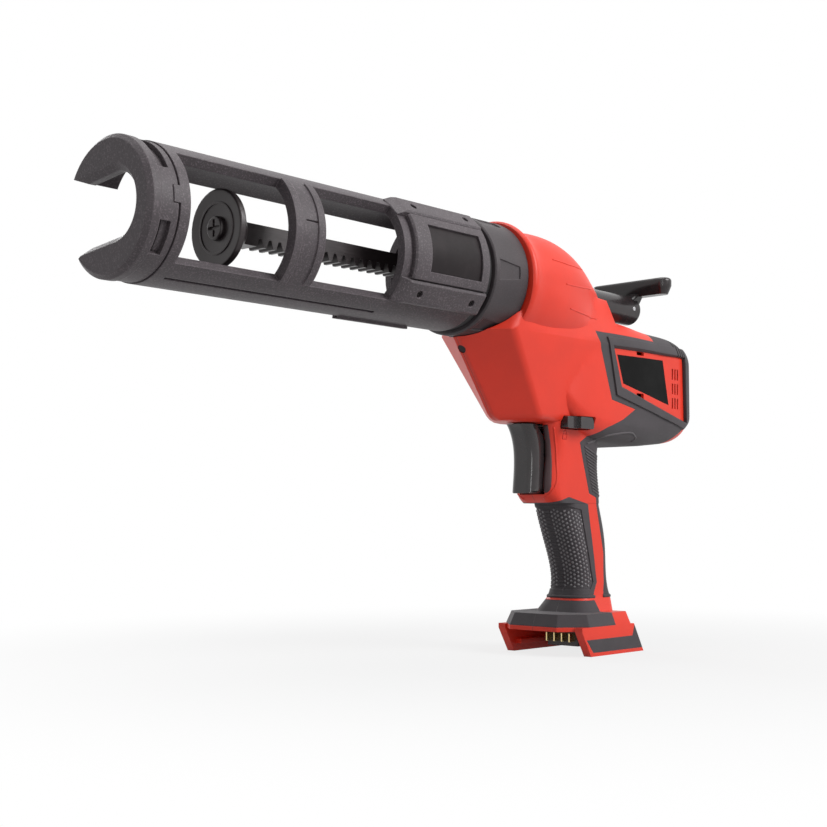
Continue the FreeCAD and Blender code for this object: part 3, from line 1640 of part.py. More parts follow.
def assembly():
    """Every piece of the tool, by name."""
    shell, skins, panel, label, screws, wells = housing_pieces()
    nodes = {
        "nose_cap": turned(nose_cap(), holder_turn),
        "holder_cradle": turned(cradle(), holder_turn),
        "sleeve_cover": turned(sleeve_cover(), holder_turn),
        "sleeve_inlay": turned(sleeve_inlay(), holder_turn),
        "cover_screws": turned(cover_screws(), holder_turn),
        "swivel_hub": turned(swivel_hub(), holder_turn),
        "hub_retainer": hub_retainer(),
        "swivel_seal": swivel_seal(),
        "front_bush": front_bush(),
        "locking_collar": locking_collar(),
        "rack_rod": rack_rod(),
        "piston_plate": piston_plate(),
        "piston_screw": piston_screw(),
        "pull_handle": pull_handle(),
        "handle_pin": handle_pin(),
        "housing_left": left_half(shell),
        "housing_right": right_half(shell),
        "housing_screws": Part.makeCompound(screws),
        "vent_panel_left": panel.cut(label),
        "vent_panel_right": mirrored(panel),
        "label_plate": label,
        "trigger": trigger(),
        "trigger_switch": trigger_switch(),
        "lock_button": lock_button(),
        "drive_pinion": drive_pinion(),
        "drive_shaft": drive_shaft(),
        "shaft_bearings": shaft_bearings(),
        "gearbox_case": gearbox_case(),
        "rod_guide": rod_guide(),
        "motor": motor(),
        "rear_bush": rear_bush(),
        "terminal_block": terminal_block(),
        "terminal_blades": Part.makeCompound(terminal_blades()),
        "control_board": control_board(),
        "work_light": work_light(0),
    }
    for name, skin in skins.items():
        nodes[name + "_left"] = skin
        nodes[name + "_right"] = mirrored(skin).cut(wells + screws)
    return nodes


os.makedirs("parts", exist_ok=True)
for node, shape in assembly().items():
    shape.exportStep("parts/" + node + ".step")
    print(node, len(shape.Solids), round(shape.Volume), shape.isValid())
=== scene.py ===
"""Finishes, moulded detail, studio and camera for the cordless caulking tool."""

from __future__ import annotations

import json
import logging
import math
from dataclasses import dataclass
from enum import Enum
from typing import Any, Mapping, Sequence

import bmesh
import bpy
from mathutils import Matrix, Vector
from mathutils.bvhtree import BVHTree

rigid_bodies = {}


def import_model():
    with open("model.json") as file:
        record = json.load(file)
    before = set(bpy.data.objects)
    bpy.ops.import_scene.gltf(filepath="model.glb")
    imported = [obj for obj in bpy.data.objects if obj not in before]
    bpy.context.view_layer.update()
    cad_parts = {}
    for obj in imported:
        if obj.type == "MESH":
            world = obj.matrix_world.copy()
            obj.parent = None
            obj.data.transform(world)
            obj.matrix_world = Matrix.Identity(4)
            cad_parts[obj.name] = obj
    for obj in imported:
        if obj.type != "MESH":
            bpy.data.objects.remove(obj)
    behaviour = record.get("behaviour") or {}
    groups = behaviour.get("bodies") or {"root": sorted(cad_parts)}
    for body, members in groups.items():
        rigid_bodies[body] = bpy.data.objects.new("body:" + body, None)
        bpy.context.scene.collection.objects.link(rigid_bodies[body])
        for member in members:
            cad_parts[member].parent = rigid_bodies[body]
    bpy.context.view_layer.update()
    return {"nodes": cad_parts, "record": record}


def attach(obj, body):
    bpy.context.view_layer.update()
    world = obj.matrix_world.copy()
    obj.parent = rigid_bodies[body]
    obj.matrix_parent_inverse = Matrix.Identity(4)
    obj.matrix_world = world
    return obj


LOG = logging.getLogger("caulking_tool")
MM = 0.001
NOISE_MEAN = 0.5
PATH_STEP = 1.5  # millimetres between the points of a line laid on a surface
WHITE = (1.0, 1.0, 1.0, 1.0)

Colour = tuple[float, float, float]
Place = tuple[float, float, float]
Pair = tuple[float, float]
Spot = tuple[float, float]
Contact = tuple[Vector, Vector]  # a point on a surface and the outward normal there


class Side(Enum):
    """The two sides of the tool, as signs along Y."""

    LEFT = 1
    RIGHT = -1

    @property
    def word(self) -> str:
        """The side's name at the end of a piece's name."""
        return self.name.lower()


class Value:
    """A node's output socket, with arithmetic that adds Math nodes."""

    def __init__(self, graph: Graph, socket: bpy.types.NodeSocket | None) -> None:
        """Keep the socket and the graph it belongs to."""
        self.graph = graph
        self.socket = socket

    def _math(self, operation: str, other: Value | float, flip: bool = False) -> Value:
        """Add one Math node.

        Args:
            operation: The Math node's operation.
            other: The second operand.
            flip: Whether the operands change places.

        Returns:
            The node's result.
        """
        pair = (other, self) if flip else (self, other)
        return self.graph.node("ShaderNodeMath", {"operation": operation}, dict(enumerate(pair)))

    def __add__(self, other: Value | float) -> Value:
        """The sum."""
        return self._math("ADD", other)

    def __radd__(self, other: float) -> Value:
        """The sum, with the number first."""
        return self._math("ADD", other, flip=True)

    def __sub__(self, other: Value | float) -> Value:
        """The difference."""
        return self._math("SUBTRACT", other)

    def __rsub__(self, other: float) -> Value:
        """The difference, with the number first."""
        return self._math("SUBTRACT", other, flip=True)

    def __mul__(self, other: Value | float) -> Value:
        """The product."""
        return self._math("MULTIPLY", other)

    def __rmul__(self, other: float) -> Value:
        """The product, with the number first."""
        return self._math("MULTIPLY", other, flip=True)

    def __abs__(self) -> Value:
        """The value without its sign."""
        return self._math("ABSOLUTE", 0.0)

    def larger(self, other: Value | float) -> Value:
        """The larger of two values."""
        return self._math("MAXIMUM", other)

    def step(self, low: float, high: float) -> Value:
        """A smooth step from 0 at low to 1 at high.

        Args:
            low: Where the step starts.
            high: Where the step ends.

        Returns:
            The stepped value.
        """
        settings = {"interpolation_type": "SMOOTHSTEP"}
        inputs = {0: self, 1: low, 2: high, 3: 0.0, 4: 1.0}
        return self.graph.node("ShaderNodeMapRange", settings, inputs)


class Graph:
    """A node tree, written as calls and expressions."""

    BEVEL_SAMPLES = 4
    EDGE_STEP = (0.015, 0.25)
    MIX_FACTOR, MIX_FIRST, MIX_SECOND = 0, 6, 7  # a Mix node's sockets for colours
    MIX_RESULT = 2

    def __init__(self, owner: bpy.types.Material | bpy.types.World) -> None:
        """Start with an empty tree.

        Args:
            owner: The material or world that the tree belongs to.
        """
        self.owner = owner
        owner.use_nodes = True
        self.tree = owner.node_tree
        self.tree.nodes.clear()

    @classmethod
    def named(cls, name: str) -> Graph:
        """The empty tree of a new material."""
        return cls(bpy.data.materials.new(name))

    def node(
        self,
        kind: str,
        settings: Mapping[str, Any] | None = None,
        inputs: Mapping[int | str, Any] | None = None,
        output: int | str = 0,
    ) -> Value:
        """Add any node.

        Args:
            kind: The node's type.
            settings: Its own settings, set first.
            inputs: Links or values by the socket's name or number.
            output: The output socket that is wanted; the closing node has none.

        Returns:
            That output.
        """
        made = self.tree.nodes.new(kind)
        for key, setting in (settings or {}).items():
            setattr(made, key, setting)
        for key, given in (inputs or {}).items():
            if isinstance(given, Value):
                self.tree.links.new(given.socket, made.inputs[key])
            else:
                made.inputs[key].default_value = given
        return Value(self, made.outputs[output] if made.outputs else None)

    def place(self) -> Value:
        """The point on the tool, in metres in its own frame."""
        return self.node("ShaderNodeTexCoord", output="Object")

    def noise(self, scale: float, detail: float = 3.0, rough: float = 0.55) -> Value:
        """Noise over the surface, from 0 to 1.

        Args:
            scale: Cells in a metre.
            detail: Octaves.
            rough: How strong the fine octaves are.

        Returns:
            The noise value.
        """
        inputs = {"Vector": self.place(), "Scale": scale, "Detail": detail, "Roughness": rough}
        return self.node("ShaderNodeTexNoise", {}, inputs)

    def cells(self, scale: float) -> Value:
        """Distance to the nearest of scattered points, for pits."""
        return self.node("ShaderNodeTexVoronoi", {}, {"Vector": self.place(), "Scale": scale})

    def mix(
        self,
        first: Value | Sequence[float],
        second: Value | Sequence[float],
        factor: Value | float,
    ) -> Value:
        """A blend of two colours.

        Args:
            first: The colour at factor 0.
            second: The colour at factor 1.
            factor: The share of the second.

        Returns:
            The blended colour.
        """
        inputs = {self.MIX_FACTOR: factor, self.MIX_FIRST: first, self.MIX_SECOND: second}
        return self.node("ShaderNodeMix", {"data_type": "RGBA"}, inputs, self.MIX_RESULT)

    def rounded(self, radius: float) -> Value:
        """A normal that rounds the edges by a radius."""
        return self.node("ShaderNodeBevel", {"samples": self.BEVEL_SAMPLES}, {"Radius": radius})

    def edges(self, normal: Value) -> Value:
        """How near the surface is to a rounded edge.

        Args:
            normal: The normal that rounds the edges.

        Returns:
            A mask from 0 on the flat to 1 on an edge.
        """
        flat = self.node("ShaderNodeNewGeometry", output="Normal")
        settings = {"operation": "DOT_PRODUCT"}
        agree = self.node("ShaderNodeVectorMath", settings, {0: normal, 1: flat}, "Value")
        return (1.0 - agree).step(*self.EDGE_STEP)

    def bump(self, height: Value, depth: float, normal: Value) -> Value:
        """A normal with a fine relief.

        Args:
            height: The relief, from 0 to 1.
            depth: Its full depth in metres.
            normal: The normal below it.

        Returns:
            The new normal.
        """
        inputs = {"Strength": 1.0, "Distance": depth, "Height": height, "Normal": normal}
        return self.node("ShaderNodeBump", {}, inputs)

    def principled(self, **sockets: Any) -> bpy.types.Material:
        """Close the material with one surface shader.

        Args:
            sockets: Values by socket name, with _ for a space.

        Returns:
            The finished material.
        """
        inputs = {key.replace("_", " "): given for key, given in sockets.items()}
        self.close(self.node("ShaderNodeBsdfPrincipled", {}, inputs))
        return self.owner

    def close(self, surface: Value) -> None:
        """Send a shader to the tree's output.

        Args:
            surface: The shader.
        """
        kind = "World" if isinstance(self.owner, bpy.types.World) else "Material"
        self.node(f"ShaderNodeOutput{kind}", {}, {"Surface": surface})

    def background_ray(self) -> Value:
        """Tell the rays that show the background.

        Returns:
            1 for the camera's rays and those off gloss and through glass, else 0.
        """
        kinds = ("Is Camera Ray", "Is Glossy Ray", "Is Transmission Ray")
        rays = [self.node("ShaderNodeLightPath", output=kind) for kind in kinds]
        return rays[0].larger(rays[1]).larger(rays[2])


def rgba(colour: Colour, factor: float = 1.0) -> tuple[float, float, float, float]:
    """A colour, scaled in brightness, with its alpha."""
    return (*(min(part * factor, 1.0) for part in colour), 1.0)


@dataclass(frozen=True)
class MouldedPlastic:
    """Textured plastic from a spark-eroded mould, a little polished along its edges; the edges are
    also painted lighter, partly as wear and partly as a painted highlight.
    """

    colour: Colour
    roughness: float
    grain: float
    grain_depth: float
    edge_radius: float = 0.5 * MM
    grain_gloss: float = 0.16
    speck_scale: float = 0.8
    pit_share: float = 0.3
    mottle: float = 0.10
    mottle_scale: float = 38.0
    mottle_gloss: float = 0.10
    sparkle: float = 0.0
    sparkle_lift: float = 2.6
    edge_lift: float = 1.35
    edge_share: float = 0.7
    edge_polish: float = 0.10
    seam: bool = False
    seam_width: Pair = (0.10 * MM, 0.32 * MM)
    seam_tone: float = 0.35
    seam_share: float = 0.8
    seam_depth: float = 2.0
    specular: float = 0.5
    coat: float = 0.0
    coat_roughness: float = 0.25

    def material(self, name: str) -> bpy.types.Material:
        """Build the finish.

        Args:
            name: The material's name.

        Returns:
            The material.
        """
        graph = Graph.named(name)
        normal = graph.rounded(self.edge_radius)
        edge = graph.edges(normal)
        cloud = graph.noise(self.mottle_scale, detail=4.0)
        grain = graph.noise(self.grain, detail=2.0, rough=0.6)
        near = 1.0 - graph.cells(self.grain * self.speck_scale)
        pits = near * near * near
        dark, pale = rgba(self.colour, 1.0 - self.mottle), rgba(self.colour, 1.0 + self.mottle)
        tone = graph.mix(dark, pale, cloud.step(low=0.3, high=0.7))
        if self.sparkle:
            glint = graph.noise(self.grain * self.speck_scale, detail=2.0).step(low=0.50, high=0.70)
            tone = graph.mix(tone, rgba(self.colour, self.sparkle_lift), self.sparkle * glint)
        # Lighter colour along the edges: partly wear, partly a painted highlight on the rims.
        tone = graph.mix(tone, rgba(self.colour, self.edge_lift), self.edge_share * edge)
        relief = (1.0 - self.pit_share) * grain + self.pit_share * pits
        rough = self.roughness + self.grain_gloss * (grain - NOISE_MEAN)
        rough = rough + self.mottle_gloss * (cloud - NOISE_MEAN) - self.edge_polish * edge
        if self.seam:
            off_middle = abs(graph.node("ShaderNodeSeparateXYZ", {}, {0: graph.place()}, "Y"))
            line = 1.0 - off_middle.step(*self.seam_width)
            tone = graph.mix(tone, rgba(self.colour, self.seam_tone), self.seam_share * line)
            relief = relief - self.seam_depth * line
        return graph.principled(
            Base_Color=tone,
            Roughness=rough,
            Specular_IOR_Level=self.specular,
            Coat_Weight=self.coat,
            Coat_Roughness=self.coat_roughness,
            Normal=graph.bump(relief, self.grain_depth, normal),
        )


@dataclass(frozen=True)
class SoftRubber:
    """Matt overmoulded rubber with random dusty patches; its edges are lighter, partly as rubbed
    wear and partly as a painted highlight.
    """

    colour: Colour
    roughness: float = 0.72
    grain: float = 1500.0
    grain_depth: float = 0.05 * MM
    grain_lift: float = 1.8
    grain_share: float = 0.45
    dust_scale: float = 55.0
    dust_tones: Pair = (0.84, 1.14)
    dust_gloss: float = 0.12
    edge_radius: float = 0.7 * MM
    edge_lift: float = 1.55
    edge_share: float = 0.55
    edge_polish: float = 0.12
    specular: float = 0.3
    sheen: float = 0.08
    sheen_roughness: float = 0.6

    def material(self, name: str) -> bpy.types.Material:
        """Build the finish.

        Args:
            name: The material's name.

        Returns:
            The material.
        """
        graph = Graph.named(name)
        normal = graph.rounded(self.edge_radius)
        edge = graph.edges(normal)
        dust = graph.noise(self.dust_scale, detail=5.0, rough=0.6)
        grain = graph.noise(self.grain, detail=2.0, rough=0.65)
        dark, pale = (rgba(self.colour, factor) for factor in self.dust_tones)
        tone = graph.mix(dark, pale, dust.step(low=0.28, high=0.72))
        specks = self.grain_share * grain.step(low=0.58, high=0.78)
        tone = graph.mix(tone, rgba(self.colour, self.grain_lift), specks)
        # Lighter colour along the edges: partly rubbed wear, partly a painted highlight.
        tone = graph.mix(tone, rgba(self.colour, self.edge_lift), self.edge_share * edge)
        rough = self.roughness + self.dust_gloss * (dust - NOISE_MEAN) - self.edge_polish * edge
        return graph.principled(
            Base_Color=tone,
            Roughness=rough,
            Specular_IOR_Level=self.specular,
            Sheen_Weight=self.sheen,
            Sheen_Roughness=self.sheen_roughness,
            Normal=graph.bump(grain, self.grain_depth, normal),
        )


@dataclass(frozen=True)
class GlossPlastic:
    """Smooth glossy plastic with faint handling marks, and edges painted lighter, partly as wear
    and partly as a painted highlight.
    """

    colour: Colour
    roughness: float
    edge_radius: float
    specular: float
    coat: float
    coat_roughness: float = 0.12
    smear_scale: float = 90.0
    smear_tones: Pair = (0.85, 1.25)
    smear_mean: float = 0.45
    smear_gloss: float = 0.16
    edge_lift: float = 2.2
    edge_share: float = 0.5
    edge_wear: float = 0.05
    ripple_scale: float = 420.0
    ripple_depth: float = 0.012 * MM

    def material(self, name: str) -> bpy.types.Material:
        """Build the finish.

        Args:
            name: The material's name.

        Returns:
            The material.
        """
        graph = Graph.named(name)
        normal = graph.rounded(self.edge_radius)
        edge = graph.edges(normal)
        smear = graph.noise(self.smear_scale, detail=5.0, rough=0.65)
        ripple = graph.noise(self.ripple_scale, detail=1.0)
        dark, pale = (rgba(self.colour, factor) for factor in self.smear_tones)
        tone = graph.mix(dark, pale, smear.step(low=0.35, high=0.7))
        # Lighter colour along the edges: partly wear, partly a painted highlight.
        tone = graph.mix(tone, rgba(self.colour, self.edge_lift), self.edge_share * edge)
        rough = self.roughness + self.smear_gloss * (smear - self.smear_mean)
        return graph.principled(
            Base_Color=tone,
            Roughness=rough + self.edge_wear * edge,
            Specular_IOR_Level=self.specular,
            Coat_Weight=self.coat,
            Coat_Roughness=self.coat_roughness,
            Normal=graph.bump(ripple, self.ripple_depth, normal),
        )


@dataclass(frozen=True)
class Metal:
    """Machined or blackened metal with fine lines along one axis and bright edges, partly wear and
    partly a painted highlight.
    """

    colour: Colour
    roughness: float
    metallic: float = 1.0
    line_scale: Place = (60.0, 2200.0, 2200.0)
    line_tones: Pair = (0.8, 1.2)
    line_gloss: float = 0.18
    line_depth: float = 0.02 * MM
    stain_scale: float = 120.0
    stain_tone: float = 0.7
    stain_share: float = 0.5
    stain_gloss: float = 0.12
    edge_radius: float = 0.35 * MM
    edge_lift: float = 1.7
    edge_share: float = 0.8

    def material(self, name: str) -> bpy.types.Material:
        """Build the finish.

        Args:
            name: The material's name.

        Returns:
            The material.
        """
        graph = Graph.named(name)
        normal = graph.rounded(self.edge_radius)
        edge = graph.edges(normal)
        settings = {"operation": "MULTIPLY"}
        drawn = graph.node("ShaderNodeVectorMath", settings, {0: graph.place(), 1: self.line_scale})
        inputs = {"Vector": drawn, "Scale": 1.0, "Detail": 3.0}
        lines = graph.node("ShaderNodeTexNoise", {}, inputs)
        stain = graph.noise(self.stain_scale, detail=4.0, rough=0.6)
        dark, pale = (rgba(self.colour, factor) for factor in self.line_tones)
        tone = graph.mix(dark, pale, lines.step(low=0.3, high=0.7))
        stained = self.stain_share * stain.step(low=0.55, high=0.8)
        tone = graph.mix(tone, rgba(self.colour, self.stain_tone), stained)
        # Lighter colour along the edges: partly worn metal, partly a painted highlight.
        tone = graph.mix(tone, rgba(self.colour, self.edge_lift), self.edge_share * edge)
        rough = self.roughness + self.line_gloss * (lines - NOISE_MEAN)
        return graph.principled(
            Base_Color=tone,
            Metallic=self.metallic,
            Roughness=rough + self.stain_gloss * (stain - NOISE_MEAN),
            Normal=graph.bump(lines, self.line_depth, normal),
        )


@dataclass(frozen=True)
class ClearLens:
    """The work light's small moulded lens, dark while the light is off."""

    tint: Colour
    roughness: float = 0.12
    specular: float = 0.18
    ring_scale: float = 700.0
    ring_tone: float = 0.85
    ring_gloss: float = 0.06
    ring_depth: float = 0.03 * MM
    edge_radius: float = 0.4 * MM

    def material(self, name: str) -> bpy.types.Material:
        """Build the finish.

        Args:
            name: The material's name.

        Returns:
            The material.
        """
        graph = Graph.named(name)
        rings = graph.noise(self.ring_scale, detail=1.0)
        dark, pale = rgba(self.tint, self.ring_tone), rgba(self.tint)
        return graph.principled(
            Base_Color=graph.mix(dark, pale, rings.step(low=0.3, high=0.7)),
            Roughness=self.roughness + self.ring_gloss * rings,
            Specular_IOR_Level=self.specular,
            Normal=graph.bump(rings, self.ring_depth, graph.rounded(self.edge_radius)),
        )


class Finishes(Enum):
    """Every finish on the tool; most are named for the record's material slots."""

    # The strong edge lightening on the holder is mostly a painted highlight along its rims.
    holder_plastic = MouldedPlastic(
        (0.062, 0.052, 0.057), 0.50, 1300.0, 0.14 * MM, 0.9 * MM,
        sparkle=0.6, edge_lift=3.0, specular=0.28,
    )
    collar_plastic = MouldedPlastic(
        (0.040, 0.033, 0.036), 0.46, 1500.0, 0.06 * MM, 0.9 * MM,
        sparkle=0.2, edge_lift=2.4, specular=0.30,
    )
    red_plastic = MouldedPlastic(
        (0.66, 0.034, 0.015), 0.42, 1700.0, 0.018 * MM,
        mottle=0.035, edge_lift=1.18, seam=True, specular=0.35,
    )
    # Darker red for the lock sign: painted shade standing in for a debossed outline.
    red_mark = MouldedPlastic(
        (0.46, 0.016, 0.010), 0.46, 1700.0, 0.018 * MM, mottle=0.03, specular=0.3
    )
    inner_plastic = MouldedPlastic((0.060, 0.060, 0.064), 0.55, 1500.0, 0.05 * MM)
    trigger_well = MouldedPlastic(
        (0.060, 0.034, 0.036), 0.55, 1500.0, 0.03 * MM, specular=0.25
    )
    grip_rubber = SoftRubber((0.040, 0.034, 0.038))
    # Lighter rubber for the hatch ribs and the fold: a painted highlight on the ridges.
    worn_rubber = SoftRubber((0.072, 0.064, 0.069), 0.55)
    # Light grey rubber for the grip's dots: a painted highlight on the bump tops.
    dot_rubber = SoftRubber((0.170, 0.158, 0.166), 0.48, edge_radius=0.3 * MM)
    rubber = SoftRubber((0.016, 0.015, 0.016), 0.6)
    dark_gloss = GlossPlastic((0.018, 0.014, 0.015), 0.24, 0.6 * MM, 0.36, 0.12)
    trigger_gloss = GlossPlastic((0.020, 0.015, 0.016), 0.16, 0.6 * MM, 0.40, 0.3)
    inlay = GlossPlastic((0.014, 0.010, 0.011), 0.34, 0.3 * MM, 0.16, 0.0)
    label = GlossPlastic((0.006, 0.006, 0.006), 0.34, 0.2 * MM, 0.04, 0.0)
    # The strong edge lightening on the dark steel is partly wear and partly a painted highlight.
    dark_steel = Metal((0.024, 0.018, 0.019), 0.34, 0.25, edge_lift=3.0)
    steel = Metal((0.58, 0.58, 0.60), 0.32)
    cast = Metal((0.50, 0.51, 0.53), 0.48, line_scale=(600.0, 600.0, 600.0))
    contact = Metal((0.75, 0.58, 0.28), 0.28)
    board = MouldedPlastic((0.02, 0.16, 0.06), 0.38, 900.0, 0.03 * MM, coat=0.4)
    lens = ClearLens((0.020, 0.010, 0.011))


class FinishShelf:
    """Materials that are built once and then shared."""

    def __init__(self) -> None:
        """Start with nothing built."""
        self._built: dict[str, bpy.types.Material] = {}

    def get(self, name: str) -> bpy.types.Material:
        """A finish's material.

        Args:
            name: The finish's name.

        Returns:
            The shared material.
        """
        if name not in self._built:
            self._built[name] = Finishes[name].value.material(name)
        return self._built[name]


class Skin:
    """The outer surface of some CAD nodes, for pieces that are laid onto it."""

    OUTSIDE = 0.2  # metres from the tool's middle, where straight rays start
    SPOKE = 0.08  # metres from the grip's middle line, where rays round it start

    def __init__(self, nodes: Sequence[bpy.types.Object]) -> None:
        """Collect the nodes' faces.

        Args:
            nodes: The CAD nodes.
        """
        points: list[Vector] = []
        faces: list[list[int]] = []
        for node in nodes:
            start = len(points)
            points += [vertex.co.copy() for vertex in node.data.vertices]
            faces += [[start + index for index in face.vertices] for face in node.data.polygons]
        self._tree = BVHTree.FromPolygons(points, faces)

    def hit(self, start: Vector, way: Vector) -> Contact | None:
        """The first point that a ray meets.

        Args:
            start: Where the ray starts.
            way: Its direction.

        Returns:
            The point and the outward normal there, or None.
        """
        point, normal, _, _ = self._tree.ray_cast(start, way)
        if point is None:
            return None
        return point, normal if normal.dot(way) < 0 else -normal

    def side(self, x: float, z: float, side: Side) -> Contact | None:
        """The surface at a side-view place, in millimetres, seen from one side."""
        start = Vector((x * MM, side.value * self.OUTSIDE, z * MM))
        return self.hit(start, Vector((0, -side.value, 0)))

    def front(self, y: float, z: float) -> Contact | None:
        """The surface at a front-view place, in millimetres, seen from ahead."""
        return self.hit(Vector((self.OUTSIDE, y * MM, z * MM)), Vector((-1, 0, 0)))

    def inward(self, middle: Vector, spoke: Vector) -> Contact | None:
        """The surface round a middle, seen from outside along a spoke."""
        return self.hit(middle + spoke * self.SPOKE, -spoke)


class Relief:
    """Small raised marks, gathered into one mesh."""

    DOME_RINGS = ((1.0, -0.25), (0.86, 0.45), (0.5, 0.86))
    DOME_SIDES = 8
    RIDGE_PROFILE = ((-0.5, -0.4), (-0.38, 0.55), (0.0, 1.0), (0.38, 0.55), (0.5, -0.4))

    def __init__(self) -> None:
        """Start with no marks."""
        self._mesh = bmesh.new()

    def dome(self, point: Vector, normal: Vector, radius: float, height: float) -> None:
        """Add a round bump.

        Args:
            point: Its centre on the surface.
            normal: The way it stands.
            radius: Its radius.
            height: Its height.
        """
        aside = normal.orthogonal().normalized()
        beside = normal.cross(aside)
        rings = []
        for share, lift in self.DOME_RINGS:
            ring = []
            for index in range(self.DOME_SIDES):
                turn = math.tau * index / self.DOME_SIDES
                spoke = aside * math.cos(turn) + beside * math.sin(turn)
                place = point + spoke * (radius * share) + normal * (height * lift)
                ring.append(self._mesh.verts.new(place))
            rings.append(ring)
        for low, high in zip(rings, rings[1:]):
            self._band(low, high)
        crown = self._mesh.verts.new(point + normal * height)
        top = rings[-1]
        for here, after in zip(top, [*top[1:], top[0]]):
            self._mesh.faces.new((here, after, crown))
        self._mesh.faces.new(list(reversed(rings[0])))

    def ridge(
        self,
        path: Sequence[Contact | None],
        width: float,
        height: float,
        closed: bool = False,
    ) -> None:
        """Add a rounded ridge along a path on the surface.

        Args:
            path: Points and normals in order; a place off the surface is passed over.
            width: The ridge's width.
            height: Its height.
            closed: Whether the path returns to its start.
        """
        spots = [spot for spot in path if spot]
        count = len(spots)
        rows = []
        for index, (point, normal) in enumerate(spots):
            before = spots[index - 1 if closed else max(index - 1, 0)][0]
            after = spots[(index + 1) % count if closed else min(index + 1, count - 1)][0]
            beside = normal.cross(after - before).normalized()
            rows.append([
                self._mesh.verts.new(point + beside * (width * out) + normal * (height * up))
                for out, up in self.RIDGE_PROFILE
            ])
        pairs = list(zip(rows, rows[1:]))
        if closed:
            pairs.append((rows[-1], rows[0]))
        else:
            self._mesh.faces.new(rows[0])
            self._mesh.faces.new(list(reversed(rows[-1])))
        for low, high in pairs:
            self._band(low, high)

    def sheet(self, grid: Sequence[Sequence[Contact]], height: float, depth: float) -> None:
        """Add a thin sheet that follows the surface, with its rim rolled down.

        Args:
            grid: Rows of points and normals.
            height: How far it stands above the surface.
            depth: How far its back lies below the surface.
        """
        last_row, last_column = len(grid) - 1, len(grid[0]) - 1
        rims = []
        for lift, rim_lift in ((height, 0.0), (-depth, -depth)):
            layer = []
            for i, row in enumerate(grid):
                made = []
                for j, (point, normal) in enumerate(row):
                    on_rim = i in (0, last_row) or j in (0, last_column)
                    by = rim_lift if on_rim else lift
                    made.append(self._mesh.verts.new(point + normal * by))
                layer.append(made)
            for low, high in zip(layer, layer[1:]):
                for j in range(last_column):
                    self._mesh.faces.new((low[j], low[j + 1], high[j + 1], high[j]))
            rims.append(self._rim(layer))
        self._band(*rims)

    @staticmethod
    def _rim(layer: Sequence[Sequence[bmesh.types.BMVert]]) -> list[bmesh.types.BMVert]:
        """Go round a grid.

        Args:
            layer: Rows of points.

        Returns:
            The points on its rim, in order.
        """
        right = [row[-1] for row in layer[1:-1]]
        left = [row[0] for row in reversed(layer[1:-1])]
        return [*layer[0], *right, *reversed(layer[-1]), *left]

    def _band(
        self, low: Sequence[bmesh.types.BMVert], high: Sequence[bmesh.types.BMVert]
    ) -> None:
        """Join two closed rows of points with four-sided faces.

        Args:
            low: The first row.
            high: The second row, point for point.
        """
        count = len(low)
        for index in range(count):
            after = (index + 1) % count
            self._mesh.faces.new((low[index], low[after], high[after], high[index]))

    def piece(self, name: str, slot: str, shelf: FinishShelf, finish: str = "") -> None:
        """Turn the marks into one piece that rides on the housing.

        Args:
            name: The piece's name.
            slot: A material slot's name, whose finish it wears if no other is given.
            shelf: Where the finishes are kept.
            finish: The finish it wears, if that isn't the slot's own.
        """
        bmesh.ops.recalc_face_normals(self._mesh, faces=self._mesh.faces)
        data = bpy.data.meshes.new(name)
        self._mesh.to_mesh(data)
        self._mesh.free()
        data.shade_smooth()
        data.materials.append(shelf.get(finish or slot))
        made = bpy.data.objects.new(name, data)
        bpy.context.scene.collection.objects.link(made)
        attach(made, "housing")
        LOG.info("piece %s wears %s", name, finish or slot)


@dataclass
class SubAssembly:
    """A group of CAD nodes that get their finishes together; sizes in millimetres and degrees."""

    shelf: FinishShelf
    nodes: Mapping[str, bpy.types.Object]
    slots: Mapping[str, str]
    crease: float = 32.0
    weld_gap: float = 0.0005

    def dress(self, members: Sequence[str], finish: str = "") -> None:
        """Give each node its finish and smooth shading between its hard edges.

        Args:
            members: The nodes' names.
            finish: The finish they wear, if that isn't their slot's own.
        """
        for name in members:
            node = self.nodes[name]
            node.data.materials.clear()
            node.data.materials.append(self.shelf.get(finish or self.slots[name]))
            node.data.shade_smooth()
            weld = node.modifiers.new("weld", "WELD")
            weld.merge_threshold = self.weld_gap * MM
            split = node.modifiers.new("hard_edges", "EDGE_SPLIT")
            split.split_angle = math.radians(self.crease)
            even = node.modifiers.new("even_faces", "WEIGHTED_NORMAL")
            even.keep_sharp = True
            LOG.info("node %s wears %s", name, finish or self.slots[name])

    def skin(self, *names: str) -> Skin:
        """The joint surface of some nodes."""
        return Skin([self.nodes[name] for name in names])


@dataclass
class Holder(SubAssembly):
    """The swivelling cartridge holder, from the nose cap back to its collar."""

    def build(self) -> None:
        """Dress the holder's nodes."""
        self.dress(("nose_cap", "holder_cradle", "sleeve_cover", "cover_screws"))
        self.dress(("sleeve_inlay",), "inlay")
        self.dress(("swivel_hub", "hub_retainer", "swivel_seal", "front_bush"))
        self.dress(("locking_collar",), "collar_plastic")


@dataclass
class PushRod(SubAssembly):
    """The rack rod with its piston and pull handle, and the drive below it."""

    def build(self) -> None:
        """Dress the rod and its drive."""
        self.dress(("rack_rod", "piston_plate", "piston_screw", "pull_handle", "handle_pin"))
        self.dress(("drive_pinion", "drive_shaft", "shaft_bearings", "gearbox_case"))
        self.dress(("rod_guide", "motor", "rear_bush"))


